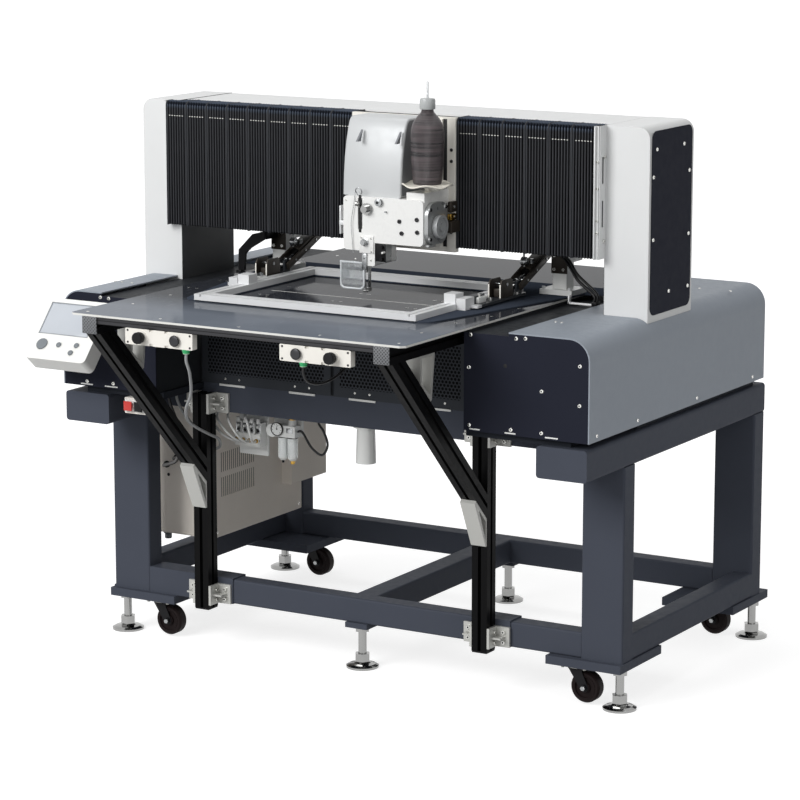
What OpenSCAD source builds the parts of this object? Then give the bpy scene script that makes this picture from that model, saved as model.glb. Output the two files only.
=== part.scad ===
// Programmable pattern sewing machine.
// A sewing head runs along a bridge in X, over a clamp frame that feeds the work in Y.
// X = 0 is the middle of the stand, Y = 0 the needle line, Z = 0 the floor.

/* [Stand] */
// Width over the side frames
stand_w = 1400; // [1400:10:1700]
// Length of the side beams
stand_d = 940; // [940:10:1200]
// Distance from the needle line forward to the front ends of the side beams
beam_front = 212; // [200:1:260]
// Height of the top of the side beams
beam_top = 636; // [600:1:780]
// Width of a side beam
side_beam_w = 125; // [110:1:150]
// Height of a side beam
side_beam_h = 72; // [60:1:90]
// Width of a leg, across the machine
leg_w = 105; // [80:1:120]
// Depth of a leg, along the machine
leg_d = 55; // [45:1:70]
// Height of the lower beams' undersides
low_beam_z = 112; // [112:1:150]
// Width of a lower beam
low_beam_w = 50; // [40:1:60]
// Height of a lower beam
low_beam_h = 60; // [45:1:75]
// Thickness of the corner plates under the legs
corner_plate_t = 20; // [15:1:24]

/* [Feet and casters] */
// Diameter of a levelling pad
pad_d = 78; // [60:1:90]
// Diameter of a levelling stem
stem_d = 20; // [16:1:24]
// Diameter of a caster wheel
wheel_d = 73; // [60:1:75]
// Width of a caster wheel
wheel_w = 30; // [24:1:36]
// Distance of a wheel's axle behind its swivel
caster_trail = 25; // [20:1:30]
// Gap from the floor to a raised caster wheel
wheel_clear = 5; // [3:1:8]

/* [Table] */
// Width of the table top
table_w = 878; // [820:1:930]
// Place of the table's middle, across the machine
table_x = -30; // [-40:1:0]
// Reach of the table top in front of the needle line
table_front = 498; // [440:1:600]
// Height of the table's top face
table_top_z = 885; // [870:1:1000]
// Thickness of the table plates
table_t = 5; // [4:1:8]
// Depth of the middle strip that holds the needle slot
strip_d = 110; // [90:1:130]
// Width of the needle slot
needle_slot_w = 5; // [4:0.5:8]
// Size of the square slotted extrusion
profile = 40; // [35:1:44]
// Distance of each side rail from the table's middle
rail_x = 384; // [360:1:400]

/* [Bridge] */
// Width of a column
column_w = 110; // [90:1:120]
// Depth of a column
column_d = 226; // [200:1:260]
// Distance of the columns behind the needle line
column_y = 104; // [104:1:130]
// Height of the bridge's top
bridge_top = 1310; // [1290:1:1500]
// Height of the bridge's underside
bridge_bottom = 1012; // [1012:1:1100]

/* [Sewing head] */
// Place of the needle along the bridge, at rest
needle_x = 11; // [-50:1:60]
// Diameter of the needle bar
needle_bar_d = 8; // [6:0.5:10]
// Diameter of the handwheel
handwheel_d = 54; // [45:1:60]
// Radial clearance of the running fits
fit = 0.05; // [0.02:0.01:0.09]
// Number of pleats of the left bellows
pleats_left = 66; // [40:1:75]
// Number of pleats of the right bellows
pleats_right = 46; // [30:1:56]

/* [Work clamp] */
// Place of the clamp frame's middle, across the machine
clamp_x = -19; // [-25:1:-10]
// Width of the sewing window
window_w = 526; // [440:1:540]
// Depth of the sewing window
window_d = 433; // [380:1:450]
// Width of the clamp frame's bars
clamp_bar_w = 34; // [28:1:36]
// Height of the clamp frame's bars
clamp_bar_h = 14; // [12:1:20]
// Thickness of the feed plate
feed_t = 2.5; // [2:0.1:4]
// Running gap between the feed plate and the table
feed_gap = 0.5; // [0.3:0.1:1]

/* [Electrical boxes] */
// Width of a start switch box
switch_box_w = 182; // [170:1:220]
// Diameter of the push buttons
button_d = 25; // [20:1:28]
// Width of the control box
control_w = 190; // [160:1:220]
// Height of the control box
control_h = 330; // [250:1:380]

/* [Hidden] */
$fn = 64;
tiny = 0.01;
joint = 0.1;

// Stand, worked out
half_w = stand_w / 2;
rear_y = stand_d - beam_front;
front_plane = -27;
bed_t = 16;
bed_top = beam_top + bed_t;
bed_in_l = -430;
bed_in_r = 388;
hook_beam_y0 = 10;
hook_beam_y1 = 90;
hook_beam_top = bed_top + 70;
feed_rail_top = bed_top + 80;
leg_in = half_w - leg_w;
corner_plate_z = low_beam_z - corner_plate_t;
foot_x = half_w - 18;
rear_foot_y = rear_y - 8;
caster_x = half_w - 125;
rear_caster_y = rear_y - 40;
caster_top = corner_plate_z - 3;
race_h = 4;
wheel_z = wheel_clear + wheel_d / 2;

// Table, worked out
table_under = table_top_z - table_t;
table_rear = rear_y - 2;
table_l = table_x - table_w / 2;
table_r = table_x + table_w / 2;
rail_under = table_under - profile;
front_rail_h = 17;
post_bottom = 103;
table_post_top = beam_top - 6;
strut_low = table_post_top - 155;

// Covers, worked out
cover_out = half_w + 5;
cover_r = 50;
cover_t = 3;
cover_top = table_top_z - 4;
cover_in_l = column_w - half_w;
cover_in_r = half_w - 195;
inner_top = cover_top - 9;
inner_in_l = table_x - table_w / 2 + 32;
inner_in_r = table_x + table_w / 2 - 16;
feed_slot_x = half_w - 209;

// Bridge, worked out
column_out = half_w - 14;
column_in = column_out - column_w;
column_back = column_y + column_d;
beam_y = column_y + 36;
rail_h = 15;
rail_w = 20;
low_rail_z = bridge_bottom + 58;
high_rail_z = bridge_top - 60;
run_gap = 0.3;
plate_y = 73;
plate_t = 12;
bellows_r1 = column_in - 10;
bellows_l0 = -(column_in + 21);

// Sewing head, worked out, in X from the needle
plate_l = -80;
plate_r = 199;
head_bottom = bridge_bottom - 12;
arm_bottom = bridge_bottom + 14;
arm_top = bridge_bottom + 119;
arm_front = -47;
arm_back = 50;
nose_bottom = bridge_bottom - 40;
nose_right = 53;
arm_end = 181;
shaft_d = 12;
shaft_z = bridge_bottom + 56;
needle_tip_z = table_top_z + 18;
foot_z = table_top_z + 17;
presser_y = 18;
take_up_x = 14;
take_up_y = -8;
take_up_z = bridge_bottom + 70;
take_up_pin_d = 5;

// Work clamp, worked out
feed_z = table_top_z + feed_gap;
feed_top = feed_z + feed_t;
feed_half = 335;
feed_rear = 410;
window_front = -192;
window_back = window_front + window_d;
clamp_top = feed_top + clamp_bar_h;
frame_half = window_w / 2 + clamp_bar_w;
post_x = 390;
post_y = 300;
post_top = bridge_bottom - 22;
lift_pin_y = 345;
lift_pin_z = bridge_bottom - 33;
lift_end_y = 190;
lift_end_z = lift_pin_z - 64;
lift_x = 320;
lift_len = norm([lift_pin_y - lift_end_y, lift_pin_z - lift_end_z]);
lift_tilt = atan2(lift_pin_z - lift_end_z, lift_pin_y - lift_end_y);
lift_bore_d = 8;

// Electrical boxes, worked out
left_box_x = table_x - 196;
right_box_x = table_x + 215;
power_x = -498;
switch_box_t = 18;
louvres = 17;
louvre_w = 4;
drive_box_t = 30;

// Routes of the cables and air lines
left_cable = [
    [-158, -489, 816], [-158, -489, 798], [-158, -476, 768], [-184, -435, 715], [-230, -388, 668],
    [-280, -310, 622], [-330, -200, 580], [-368, -90, 540], [-378, -40, 520], [-396, -8, 495],
    [-430, 16, 478], [-520, 70, 445], [-590, 104, 428], [-590, 118, 428]];
right_cable = [
    [150, -489, 816], [150, -489, 800], [152, -470, 778], [160, -420, 770], [170, -365, 786],
    [178, -335, 820], [180, -328, 860], [180, -328, 880]];
box_cables = [
    [[-545, -70, 636], [-545, -70, 596], [-532, -62, 540], [-518, -38, 488], [-528, 4, 456],
        [-575, 58, 424], [-640, 104, 400], [-640, 118, 400]],
    [[-525, -66, 636], [-525, -66, 600], [-510, -56, 540], [-498, -32, 492], [-510, 10, 466],
        [-556, 62, 440], [-610, 104, 420], [-610, 118, 420]],
    [[-505, -62, 636], [-505, -62, 606], [-492, -52, 560], [-482, -26, 516], [-492, 14, 488],
        [-535, 64, 462], [-575, 104, 452], [-575, 118, 452]],
    [[-485, -58, 636], [-485, -58, 610], [-474, -46, 574], [-466, -18, 540], [-474, 20, 514],
        [-510, 68, 490], [-545, 104, 480], [-545, 118, 480]]];
air_lines = [
    [[-371, 27, 509], [-371, 12, 509], [-392, -6, 526], [-425, 4, 552], [-440, 30, 570], [-440, 30, 585]],
    [[-352, 27, 509], [-352, 8, 509], [-368, -14, 530], [-400, -10, 560], [-420, 20, 572], [-420, 20, 585]],
    [[-333, 27, 509], [-333, 6, 509], [-342, -18, 532], [-365, -16, 562], [-388, 16, 574], [-388, 16, 585]],
    [[-314, 27, 509], [-314, 10, 509], [-308, -8, 528], [-318, -6, 560], [-340, 16, 574], [-340, 16, 585]]];
filter_line = [
    [-150, 48, 585], [-150, 48, 566], [-134, 47, 545], [-124, 46, 515], [-140, 46, 490],
    [-170, 47, 505], [-196, 48, 539], [-209, 48, 539]];

// Operation panel, worked out; each key as its place on the face and its diameter
keys = [[36, 40, 29], [84, 42, 13], [134, 45, 13], [126, 24, 13]];
panel_w = 175;
panel_h = 168;
panel_t = 45;
panel_tilt = 49;
panel_x = -725;
panel_y = -342;
panel_z = beam_top + 98;
hinge_y = -240;
hinge_z = panel_z + 28;
hinge_d = 8;

// ---------- Shared shapes ----------

// A box between two corners given as ranges
module block(x0, x1, y0, y1, z0, z1) {
    translate([x0, y0, z0]) cube([x1 - x0, y1 - y0, z1 - z0]);
}

// A rectangle with round corners, its lower left corner at the origin
module round_rect(w, h, r) {
    translate([r, 0]) square([w - 2 * r, h]);
    translate([0, r]) square([w, h - 2 * r]);
    for (x = [r, w - r], y = [r, h - r]) translate([x, y]) circle(r);
}

// Bars with round edges, along each axis
module bar_x(x0, x1, y0, y1, z0, z1, r) {
    translate([x0, y0, z0]) rotate([90, 0, 90])
        linear_extrude(x1 - x0) round_rect(y1 - y0, z1 - z0, r);
}

module bar_y(x0, x1, y0, y1, z0, z1, r) {
    translate([x0, y1, z0]) rotate([90, 0, 0])
        linear_extrude(y1 - y0) round_rect(x1 - x0, z1 - z0, r);
}

module bar_z(x0, x1, y0, y1, z0, z1, r) {
    translate([x0, y0, z0]) linear_extrude(z1 - z0) round_rect(x1 - x0, y1 - y0, r);
}

// Round bars along X and Y, centred on a point
module rod_x(d, l) {
    rotate([0, 90, 0]) cylinder(d = d, h = l, center = true);
}

module rod_y(d, l) {
    rotate([90, 0, 0]) cylinder(d = d, h = l, center = true);
}

// An outline in the Y-Z plane, extruded along X from x0 to x1
module profile_x(x0, x1) {
    translate([x0, 0, 0]) rotate([90, 0, 90]) linear_extrude(x1 - x0) children();
}

// An outline in the X-Z plane, extruded along Y from y0 to y1
module profile_y(y0, y1) {
    translate([0, y1, 0]) rotate([90, 0, 0]) linear_extrude(y1 - y0) children();
}

module both_sides() {
    children();
    mirror([1, 0, 0]) children();
}

// Section of the slotted aluminium extrusion, centred
module slotted_section() {
    s = profile / 40;
    difference() {
        square(profile, center = true);
        circle(d = 6.8 * s);
        for (a = [0 : 90 : 270]) rotate(a) translate([0, profile / 2]) scale([s, s])
            polygon([
                [-4.1, 1], [-4.1, -4.5], [-10, -4.5], [-10, -6.5], [-4.5, -12],
                [4.5, -12], [10, -6.5], [10, -4.5], [4.1, -4.5], [4.1, 1]]);
    }
}

// ---------- Stand ----------

module corner_plate(y0, y1, foot_y) {
    difference() {
        block(half_w - 187, half_w + 3, y0, y1, corner_plate_z, low_beam_z);
        translate([foot_x, foot_y, corner_plate_z - 1])
            cylinder(d = stem_d + 2 * fit, h = corner_plate_t + 2);
    }
}

module side_frame() {
    leg_top = beam_top - side_beam_h;
    bar_y(half_w - side_beam_w, half_w, -beam_front, rear_y, leg_top, beam_top, 8);
    bar_z(leg_in, half_w, front_plane, front_plane + leg_d, low_beam_z, leg_top + 1, 5);
    bar_z(leg_in, half_w, rear_y - leg_d, rear_y, low_beam_z, leg_top + 1, 5);
    bar_y(half_w - low_beam_w, half_w, front_plane + leg_d - 5, rear_y - leg_d + 5,
        low_beam_z, low_beam_z + low_beam_h, 5);
    corner_plate(front_plane - 15, front_plane + 196, 0);
    corner_plate(rear_y - 165, rear_y + 38, rear_foot_y);
}

module side_frames() {
    color("darkslategray") both_sides() side_frame();
}

// Pad plate that takes a middle foot
module middle_plate(y) {
    difference() {
        block(-30, 30, y - 30, y + 30, low_beam_z - 12, low_beam_z + 1);
        translate([0, y, low_beam_z - 13]) cylinder(d = stem_d + 2 * fit, h = 12);
    }
}

// Reinforcing sleeve welded over the front beam, where a post stands against it
module beam_sleeve(x0, x1) {
    block(x0, x1, front_plane, front_plane + low_beam_w + 6, low_beam_z, low_beam_z + low_beam_h + 3);
}

module lower_beams() {
    front = front_plane + 3;
    rear = rear_y - 3;
    top = low_beam_z + low_beam_h;
    color("darkslategray") {
        bar_x(-leg_in, leg_in, front, front + low_beam_w, low_beam_z, top, 5);
        bar_x(-leg_in, leg_in, rear - low_beam_w, rear, low_beam_z, top, 5);
        bar_y(-30, 30, front + low_beam_w - 5, rear - low_beam_w + 5, low_beam_z, top, 5);
        beam_sleeve(-leg_in, table_x - rail_x + 64);
        beam_sleeve(table_x + rail_x - 34, table_x + rail_x + 59);
        middle_plate(0);
        middle_plate(rear_foot_y);
    }
}

// A levelling foot whose stem ends at the height given
module levelling_foot(top) {
    rotate_extrude() polygon([
        [0, 0], [pad_d / 2, 0], [pad_d / 2, 5], [pad_d / 2 - 8, 9], [20, 11],
        [stem_d / 2 + 3, 15], [0, 15]]);
    translate([0, 0, 15]) cylinder(d = 38, h = 19, $fn = 6);
    translate([0, 0, 34]) cylinder(d = stem_d, h = top - 34);
}

// Lock nut run up against the plate above
module lock_nut(z) {
    translate([0, 0, z - 12]) difference() {
        cylinder(d = 36, h = 12, $fn = 6);
        translate([0, 0, -1]) cylinder(d = stem_d + 2 * fit, h = 14);
    }
}

module levelling_feet() {
    color("silver") {
        for (x = [-foot_x, foot_x], y = [0, rear_foot_y]) translate([x, y, 0]) {
            levelling_foot(low_beam_z - 1);
            lock_nut(corner_plate_z);
        }
        for (y = [0, rear_foot_y]) translate([0, y, 0]) {
            levelling_foot(low_beam_z - 2);
            lock_nut(low_beam_z - 12);
        }
    }
}

// Top plate and upper race of a caster, fixed under its corner plate
module caster_plate() {
    difference() {
        union() {
            bar_z(-36, 36, -30, 30, caster_top, corner_plate_z, 6);
            translate([0, 0, caster_top - race_h]) cylinder(d = 46, h = race_h + 1);
        }
        translate([0, 0, caster_top - race_h - 1]) cylinder(d = 12 + 2 * fit, h = race_h + 8);
    }
}

module caster_fork() {
    top = caster_top - race_h - run_gap;
    cheek = wheel_w / 2 + 2;
    difference() {
        union() {
            translate([0, 0, top - 3]) cylinder(d = 46, h = 3);
            translate([0, 0, top - 3]) cylinder(d = 12, h = race_h + run_gap + 5);
            for (s = [-1, 1]) hull() {
                translate([-14, s * cheek - 1.5, top - 3]) cube([30, 3, 3]);
                translate([caster_trail, s * cheek, wheel_z]) rod_y(20, 3);
            }
            block(-14, 16, -cheek - 1.5, cheek + 1.5, top - 3, top);
        }
        translate([caster_trail, 0, wheel_z]) rod_y(8, 4 * wheel_w);
    }
    translate([caster_trail, 0, wheel_z]) rod_y(8, 2 * cheek + 9);
    for (s = [-1, 1])
        translate([caster_trail, s * (cheek + 3.5), wheel_z]) rod_y(14, 4);
}

module caster_wheel() {
    translate([caster_trail, 0, wheel_z]) rotate([90, 0, 0]) rotate_extrude() polygon([
        [4 + fit, -wheel_w / 2], [13, -wheel_w / 2], [13, -wheel_w / 2 + 4], [24, -wheel_w / 2 + 4],
        [27, -wheel_w / 2], [wheel_d / 2 - 4, -wheel_w / 2], [wheel_d / 2, -wheel_w / 2 + 5],
        [wheel_d / 2, wheel_w / 2 - 5], [wheel_d / 2 - 4, wheel_w / 2], [27, wheel_w / 2],
        [24, wheel_w / 2 - 4], [13, wheel_w / 2 - 4], [13, wheel_w / 2], [4 + fit, wheel_w / 2]]);
}

module at_caster(side, end) {
    translate([side * caster_x, end == "front" ? 0 : rear_caster_y, 0]) children();
}

module caster_fork_fl() { color("dimgray") at_caster(-1, "front") caster_fork(); }
module caster_fork_fr() { color("dimgray") at_caster(1, "front") caster_fork(); }
module caster_fork_rl() { color("dimgray") at_caster(-1, "rear") caster_fork(); }
module caster_fork_rr() { color("dimgray") at_caster(1, "rear") caster_fork(); }
module caster_wheel_fl() { color("black") at_caster(-1, "front") caster_wheel(); }
module caster_wheel_fr() { color("black") at_caster(1, "front") caster_wheel(); }
module caster_wheel_rl() { color("black") at_caster(-1, "rear") caster_wheel(); }
module caster_wheel_rr() { color("black") at_caster(1, "rear") caster_wheel(); }

// ---------- Bed, guides and hook ----------

module machine_bed() {
    color("dimgray") {
        block(bed_in_r, half_w - 50, 20 - beam_front, rear_y - 40, beam_top, bed_top);
        block(half_w - 50 - tiny, column_out, 60, rear_y - 40, beam_top, bed_top);
        block(50 - half_w, bed_in_l, 20 - beam_front, rear_y - 40, beam_top, bed_top);
        block(-column_out, 50 - half_w + tiny, 60, rear_y - 40, beam_top, bed_top);
        bar_x(-leg_in, leg_in, hook_beam_y0, hook_beam_y1, bed_top, hook_beam_top, 6);
        both_sides() block(feed_slot_x - 30, feed_slot_x + 30, 100, 560, bed_top, feed_rail_top);
        bar_x(-column_in, column_in, beam_y, column_back - 10, bridge_bottom + 28,
            bridge_top - 20, 6);
    }
}

// Linear rails of the three axes, and the magnet track of the head's linear motor
module guide_rails() {
    color("lightsteelblue") {
        for (z = [low_rail_z, high_rail_z])
            block(-column_in + 20, column_in - 20, beam_y - rail_h, beam_y, z, z + rail_w);
        block(-column_in + 20, column_in - 20, beam_y - 6, beam_y,
            low_rail_z + 60, high_rail_z - 40);
        block(-350, 350, 40, 40 + rail_w, hook_beam_top, hook_beam_top + rail_h);
        both_sides() block(feed_slot_x - rail_w / 2, feed_slot_x + rail_w / 2, 110, 550,
            feed_rail_top, feed_rail_top + rail_h);
    }
}

// Folded trough between the side beams, under the hook
module hook_pan() {
    back = 83;
    z0 = beam_top - 51;
    z1 = bed_top;
    t = 3;
    color("darkslategray") difference() {
        union() {
            block(-half_w + side_beam_w, half_w - side_beam_w, front_plane, front_plane + t, z0,
                beam_top - 1);
            block(bed_in_l + 2, bed_in_r - 2, front_plane, front_plane + t, z0, z1);
            block(-half_w + side_beam_w, half_w - side_beam_w, front_plane, back, z0, z0 + t);
            block(-half_w + side_beam_w, half_w - side_beam_w, back - t, back, z0,
                beam_top - 1);
        }
        translate([needle_x, 0, z0 - 1]) cylinder(d = 38, h = t + 2);
    }
}

module waste_tube() {
    top = beam_top - 51;
    color("white") translate([needle_x, 0, 0]) rotate_extrude() polygon([
        [19, top], [30, top], [30, top - 3], [21.5, top - 3], [24, top - 88], [22, top - 88],
        [19, top - 3]]);
}

module hook_carriage() {
    top = hook_beam_top + 38;
    shaft_z = table_top_z - 33;
    color("gray") translate([needle_x, 0, 0]) difference() {
        union() {
            block(-30, 62, 25, 75, hook_beam_top + 4, top);
            block(-30, 62, -20, 75, top - tiny, top + 14);
            block(36, 62, -20, 30, top + 14 - tiny, shaft_z + 17);
            translate([86, 0, shaft_z]) rod_x(34, 48 + tiny);
        }
        block(-31, 63, 40 - run_gap, 40 + rail_w + run_gap, hook_beam_top,
            hook_beam_top + rail_h + run_gap);
        translate([49, 0, shaft_z]) rod_x(10 + 2 * fit, 28);
        translate([60, 0, shaft_z]) rod_x(16, 8);
    }
}

// Rotary hook: a cup with a hook point, on its shaft along X
module rotary_hook() {
    color("silver") translate([needle_x, 0, table_top_z - 33]) {
        difference() {
            translate([12, 0, 0]) rod_x(38, 18);
            translate([7, 0, 0]) rod_x(30, 18);
            translate([7, 0, 0]) rotate([60, 0, 0]) translate([-10, 0, 12]) cube([16, 12, 9]);
        }
        translate([11, 0, 0]) rod_x(22, 12);
        translate([40, 0, 0]) rod_x(10, 38);
        translate([30, 0, 0]) rod_x(14, 10);
    }
}

// ---------- Table ----------

// One square extrusion, along Y
module rail_y(x, y0, y1, z) {
    translate([x, y1, z]) rotate([90, 0, 0]) linear_extrude(y1 - y0) slotted_section();
}

// A strut at 45 degrees, cut off upright against its post and level under its rail
module strut(x) {
    rise = rail_under - strut_low;
    mid = front_plane - profile;
    intersection() {
        translate([x, mid - rise / 2, strut_low - profile / sqrt(2) + rise / 2])
            rotate([45, 0, 0]) linear_extrude(3 * rise, center = true) slotted_section();
        block(x - profile, x + profile, -3 * rise, mid - joint, 0, rail_under - joint);
    }
}

module table_profiles() {
    color("black") {
        for (s = [-1, 1]) {
            x = table_x + s * rail_x;
            translate([x, front_plane - profile / 2, post_bottom])
                linear_extrude(table_post_top - post_bottom) slotted_section();
            rail_y(x, -table_front, table_rear - 10, table_under - profile / 2);
            strut(x);
        }
    }
    color("gray")
        block(table_x - rail_x + profile / 2 + joint, table_x + rail_x - profile / 2 - joint,
            -table_front, -table_front + profile, table_under - front_rail_h, table_under);
}

module table_plate(y0, y1) {
    block(table_l, table_r, y0, y1, table_under, table_top_z);
}

module table_top() {
    seam = 0.4;
    slot_l = needle_x - 262;
    slot_r = needle_x + 207;
    color("slategray") {
        difference() {
            table_plate(-table_front - 2, -strip_d / 2 - seam);
            for (s = [-1, 1])
                translate([table_x + s * table_w / 2, -table_front - 2, table_under - 1])
                    rotate([0, 0, 45]) cube([14, 14, 3 * table_t], center = true);
        }
        difference() {
            table_plate(-strip_d / 2, strip_d / 2);
            bar_z(slot_l, slot_r, -needle_slot_w / 2, needle_slot_w / 2, table_under - 1,
                table_top_z + 1, needle_slot_w / 2 - tiny);
        }
        difference() {
            table_plate(strip_d / 2 + seam, table_rear);
            translate([table_r - 60, 250, table_under - 1]) cylinder(d = 22, h = table_t + 2);
        }
    }
}

// Brackets of the posts, rails, struts, casters and operation panel
module angle_bracket(h) {
    rib = 4;
    block(0, 6, -profile, 0, 0, h);
    block(0, 40, -6, 0, 0, h);
    block(0, 30, -30, 0, (h - rib) / 2, (h + rib) / 2);
}

module gusset(points, inner) {
    profile_x(-19, 19) difference() {
        polygon(points);
        polygon(inner);
    }
}

module brackets() {
    post_face = front_plane - profile;
    color("silver") {
        for (s = [-1, 1], z = [post_bottom + 9, table_post_top - 47])
            for (side = [-1, 1])
                translate([table_x + s * rail_x + side * profile / 2, front_plane, z])
                    scale([side, 1, 1]) angle_bracket(48);
        for (s = [-1, 1]) translate([table_x + s * rail_x, 0, 0]) {
            low = strut_low - profile * sqrt(2);
            translate([0, post_face, low]) gusset(
                [[0, 0], [0, -64], [-6, -64], [-58, 46], [-52, 52]],
                [[-5, -6], [-5, -50], [-38, 28]]);
            translate([0, -table_front + 68, rail_under]) gusset(
                [[63, 0], [124, 0], [124, -6], [112, -104], [107, -107], [63, -63]],
                [[69, -6], [117, -6], [106, -94], [69, -62]]);
        }
        for (s = [-1, 1], y = [0, rear_caster_y]) translate([s * caster_x, y, 0]) caster_plate();
        panel_bracket();
    }
}

module panel_bracket() {
    wall = -beam_front;
    block(-670, -610, wall - 5, wall, hinge_z - 36, hinge_z + 16);
    for (x = [-664, -622]) {
        block(x, x + 6, hinge_y, wall - 5 + tiny, hinge_z - 9, hinge_z + 9);
        translate([x + 3, hinge_y, hinge_z]) rod_x(18, 6);
    }
    translate([-640, hinge_y, hinge_z]) rod_x(hinge_d, 52);
}

module perforated_panels() {
    z0 = bed_top + joint;
    z1 = rail_under - 2;
    edges = [inner_in_l + 3, -65, 301, inner_in_r];
    color("dimgray") for (i = [0 : 2])
        block(edges[i] + 0.5, edges[i + 1] - 0.5, front_plane, front_plane + 2, z0, z1);
}

// ---------- Covers ----------

// Outline of a right side cover, grown inwards by t
module cover_outline(x_in, t) {
    r = cover_r - t;
    x1 = cover_out - t;
    z1 = cover_top - t;
    translate([x_in, bed_top]) square([x1 - r - x_in, z1 - bed_top]);
    translate([x_in, bed_top]) square([x1 - x_in, z1 - r - bed_top]);
    translate([x1 - r, z1 - r]) circle(r);
}

module side_cover(x_in) {
    back = rear_y - 20;
    difference() {
        profile_y(-beam_front, back) cover_outline(x_in, 0);
        profile_y(-beam_front - 1, back - cover_t) translate([-1, -tiny])
            intersection() {
                translate([1, 0]) cover_outline(x_in - 10, cover_t);
                translate([0, bed_top - 1]) square([2 * half_w, cover_top]);
            }
        block(column_in - 1, column_out + 1, column_y - 1, column_back + 1, cover_top - 60,
            cover_top + 1);
    }
    block(column_out + 2, cover_out - 1, -beam_front + 3, back - 1, bed_top, bed_top + cover_t);
}

module side_covers() {
    color("silver") {
        side_cover(cover_in_r);
        mirror([1, 0, 0]) side_cover(-cover_in_l);
    }
}

// Front plate of a side housing, set just inside its cover
module front_panel(x_in, x_step) {
    profile_y(-beam_front, -beam_front + cover_t) difference() {
        cover_outline(x_in, cover_t + run_gap);
        translate([x_in - 1, inner_top]) square([x_step - x_in + 1, 20]);
    }
}

module navy_panels() {
    color("midnightblue") {
        front_panel(inner_in_r, cover_in_r);
        mirror([1, 0, 0]) front_panel(-inner_in_l, -cover_in_l);
        both_sides() profile_x(column_out, column_out + 1.5)
            translate([column_y + 10, cover_top + 4])
            round_rect(column_d - 20, bridge_top - cover_top - 14, 20);
    }
}

// Dark inner top strip with its slot for the feed bracket, the wall below and the table's rest
module inner_cover(x_in, x_out) {
    front = -beam_front + 3;
    back = rear_y - 23;
    difference() {
        union() {
            block(x_in, x_out, front, back, inner_top - cover_t, inner_top);
            block(x_in, x_in + cover_t, front, back, bed_top, inner_top);
            block(x_in, x_in + 12, front, back, inner_top - tiny, table_under);
        }
        block(feed_slot_x - 7, feed_slot_x + 7, 125, 550, inner_top - 10, inner_top + 1);
        block(column_in - 1, column_out, column_y - 1, column_back + 1, inner_top - 10,
            inner_top + 1);
        block(x_in - 1, x_in + cover_t + 1, hook_beam_y0 - 2, hook_beam_y1 + 2, bed_top - 1,
            hook_beam_top + 2);
    }
}

module inner_covers() {
    color("dimgray") {
        inner_cover(inner_in_r, cover_in_r - 0.5);
        mirror([1, 0, 0]) inner_cover(-inner_in_l, -cover_in_l - 0.5);
    }
}

module column_outline(t) {
    r = 28 - t;
    x0 = column_in + t;
    x1 = column_out - t;
    z1 = bridge_top - t;
    translate([x0, bed_top]) square([x1 - r - x0, z1 - bed_top]);
    translate([x0, bed_top]) square([x1 - x0, z1 - r - bed_top]);
    translate([x1 - r, z1 - r]) circle(r);
}

module column() {
    difference() {
        profile_y(column_y, column_back) column_outline(0);
        intersection() {
            profile_y(column_y + 6, column_back - 6) column_outline(6);
            block(0, 2 * half_w, -half_w, 2 * half_w, bed_top - 1, 2 * bridge_top);
        }
    }
}

// End bracket of a bellows, an angle in front of the column
module bellows_bracket(x) {
    block(x, x + 12, plate_y, plate_y + 3, bridge_bottom - 2, bridge_top);
    difference() {
        block(x + 9, x + 12, plate_y, column_y - joint, bridge_bottom - 2, bridge_top);
        for (z = [bridge_bottom + 70, bridge_top - 130])
            block(x + 8, x + 13, plate_y + 12, plate_y + 19, z, z + 60);
    }
}

module gantry_covers() {
    color("silver") {
        both_sides() column();
        for (z = [bridge_bottom, bridge_top - 4])
            block(-column_in + joint, column_in - joint, 133, column_back, z, z + 3);
        block(-column_in + joint, column_in - joint, column_back - 3, column_back, bridge_bottom,
            bridge_top - 1);
        bellows_bracket(bellows_r1);
        mirror([1, 0, 0]) bellows_bracket(-bellows_l0);
    }
}

// Points of one fold of a bellows, a channel open to the back; d is the depth of the fold there
function fold(x, d, back) = let (
        t = 2.5,
        y = plate_y + d,
        z0 = bridge_bottom - 2 + d,
        z1 = bridge_top - d)
    [[x, back, z0], [x, y, z0], [x, y, z1], [x, back, z1],
     [x, back, z1 - t], [x, y + t, z1 - t], [x, y + t, z0 + t], [x, back, z0 + t]];

// Pleated channel from x0 to x1, shallower where it passes in front of a column
module bellows(x0, x1, pleats) {
    n = 2 * pleats;
    depth = 10;
    step = abs(x1 - x0) / n;
    shallow = column_in - step - 1;
    rings = [for (i = [0 : n]) let (x = x0 + (x1 - x0) * i / n)
        fold(x, i % 2 == 0 ? 0 : depth, abs(x) > shallow ? column_y - 1 : beam_y - 9)];
    polyhedron(
        points = [for (ring = rings) for (p = ring) p],
        faces = concat(
            [[0, 1, 6, 7], [1, 2, 5, 6], [2, 3, 4, 5]],
            [for (i = [0 : n - 1]) for (k = [0 : 7]) let (a = 8 * i + k, b = 8 * i + (k + 1) % 8)
                [a, a + 8, b + 8, b]],
            [for (q = [[7, 6, 1, 0], [6, 5, 2, 1], [5, 4, 3, 2]]) [for (k = q) 8 * n + k]]));
}

module bellows_left() {
    color("black") bellows(bellows_l0, needle_x + plate_l - run_gap, pleats_left);
}

module bellows_right() {
    color("black") bellows(needle_x + plate_r + run_gap, bellows_r1, pleats_right);
}

// ---------- Sewing head ----------

module at_needle() {
    translate([needle_x, 0, 0]) children();
}

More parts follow.
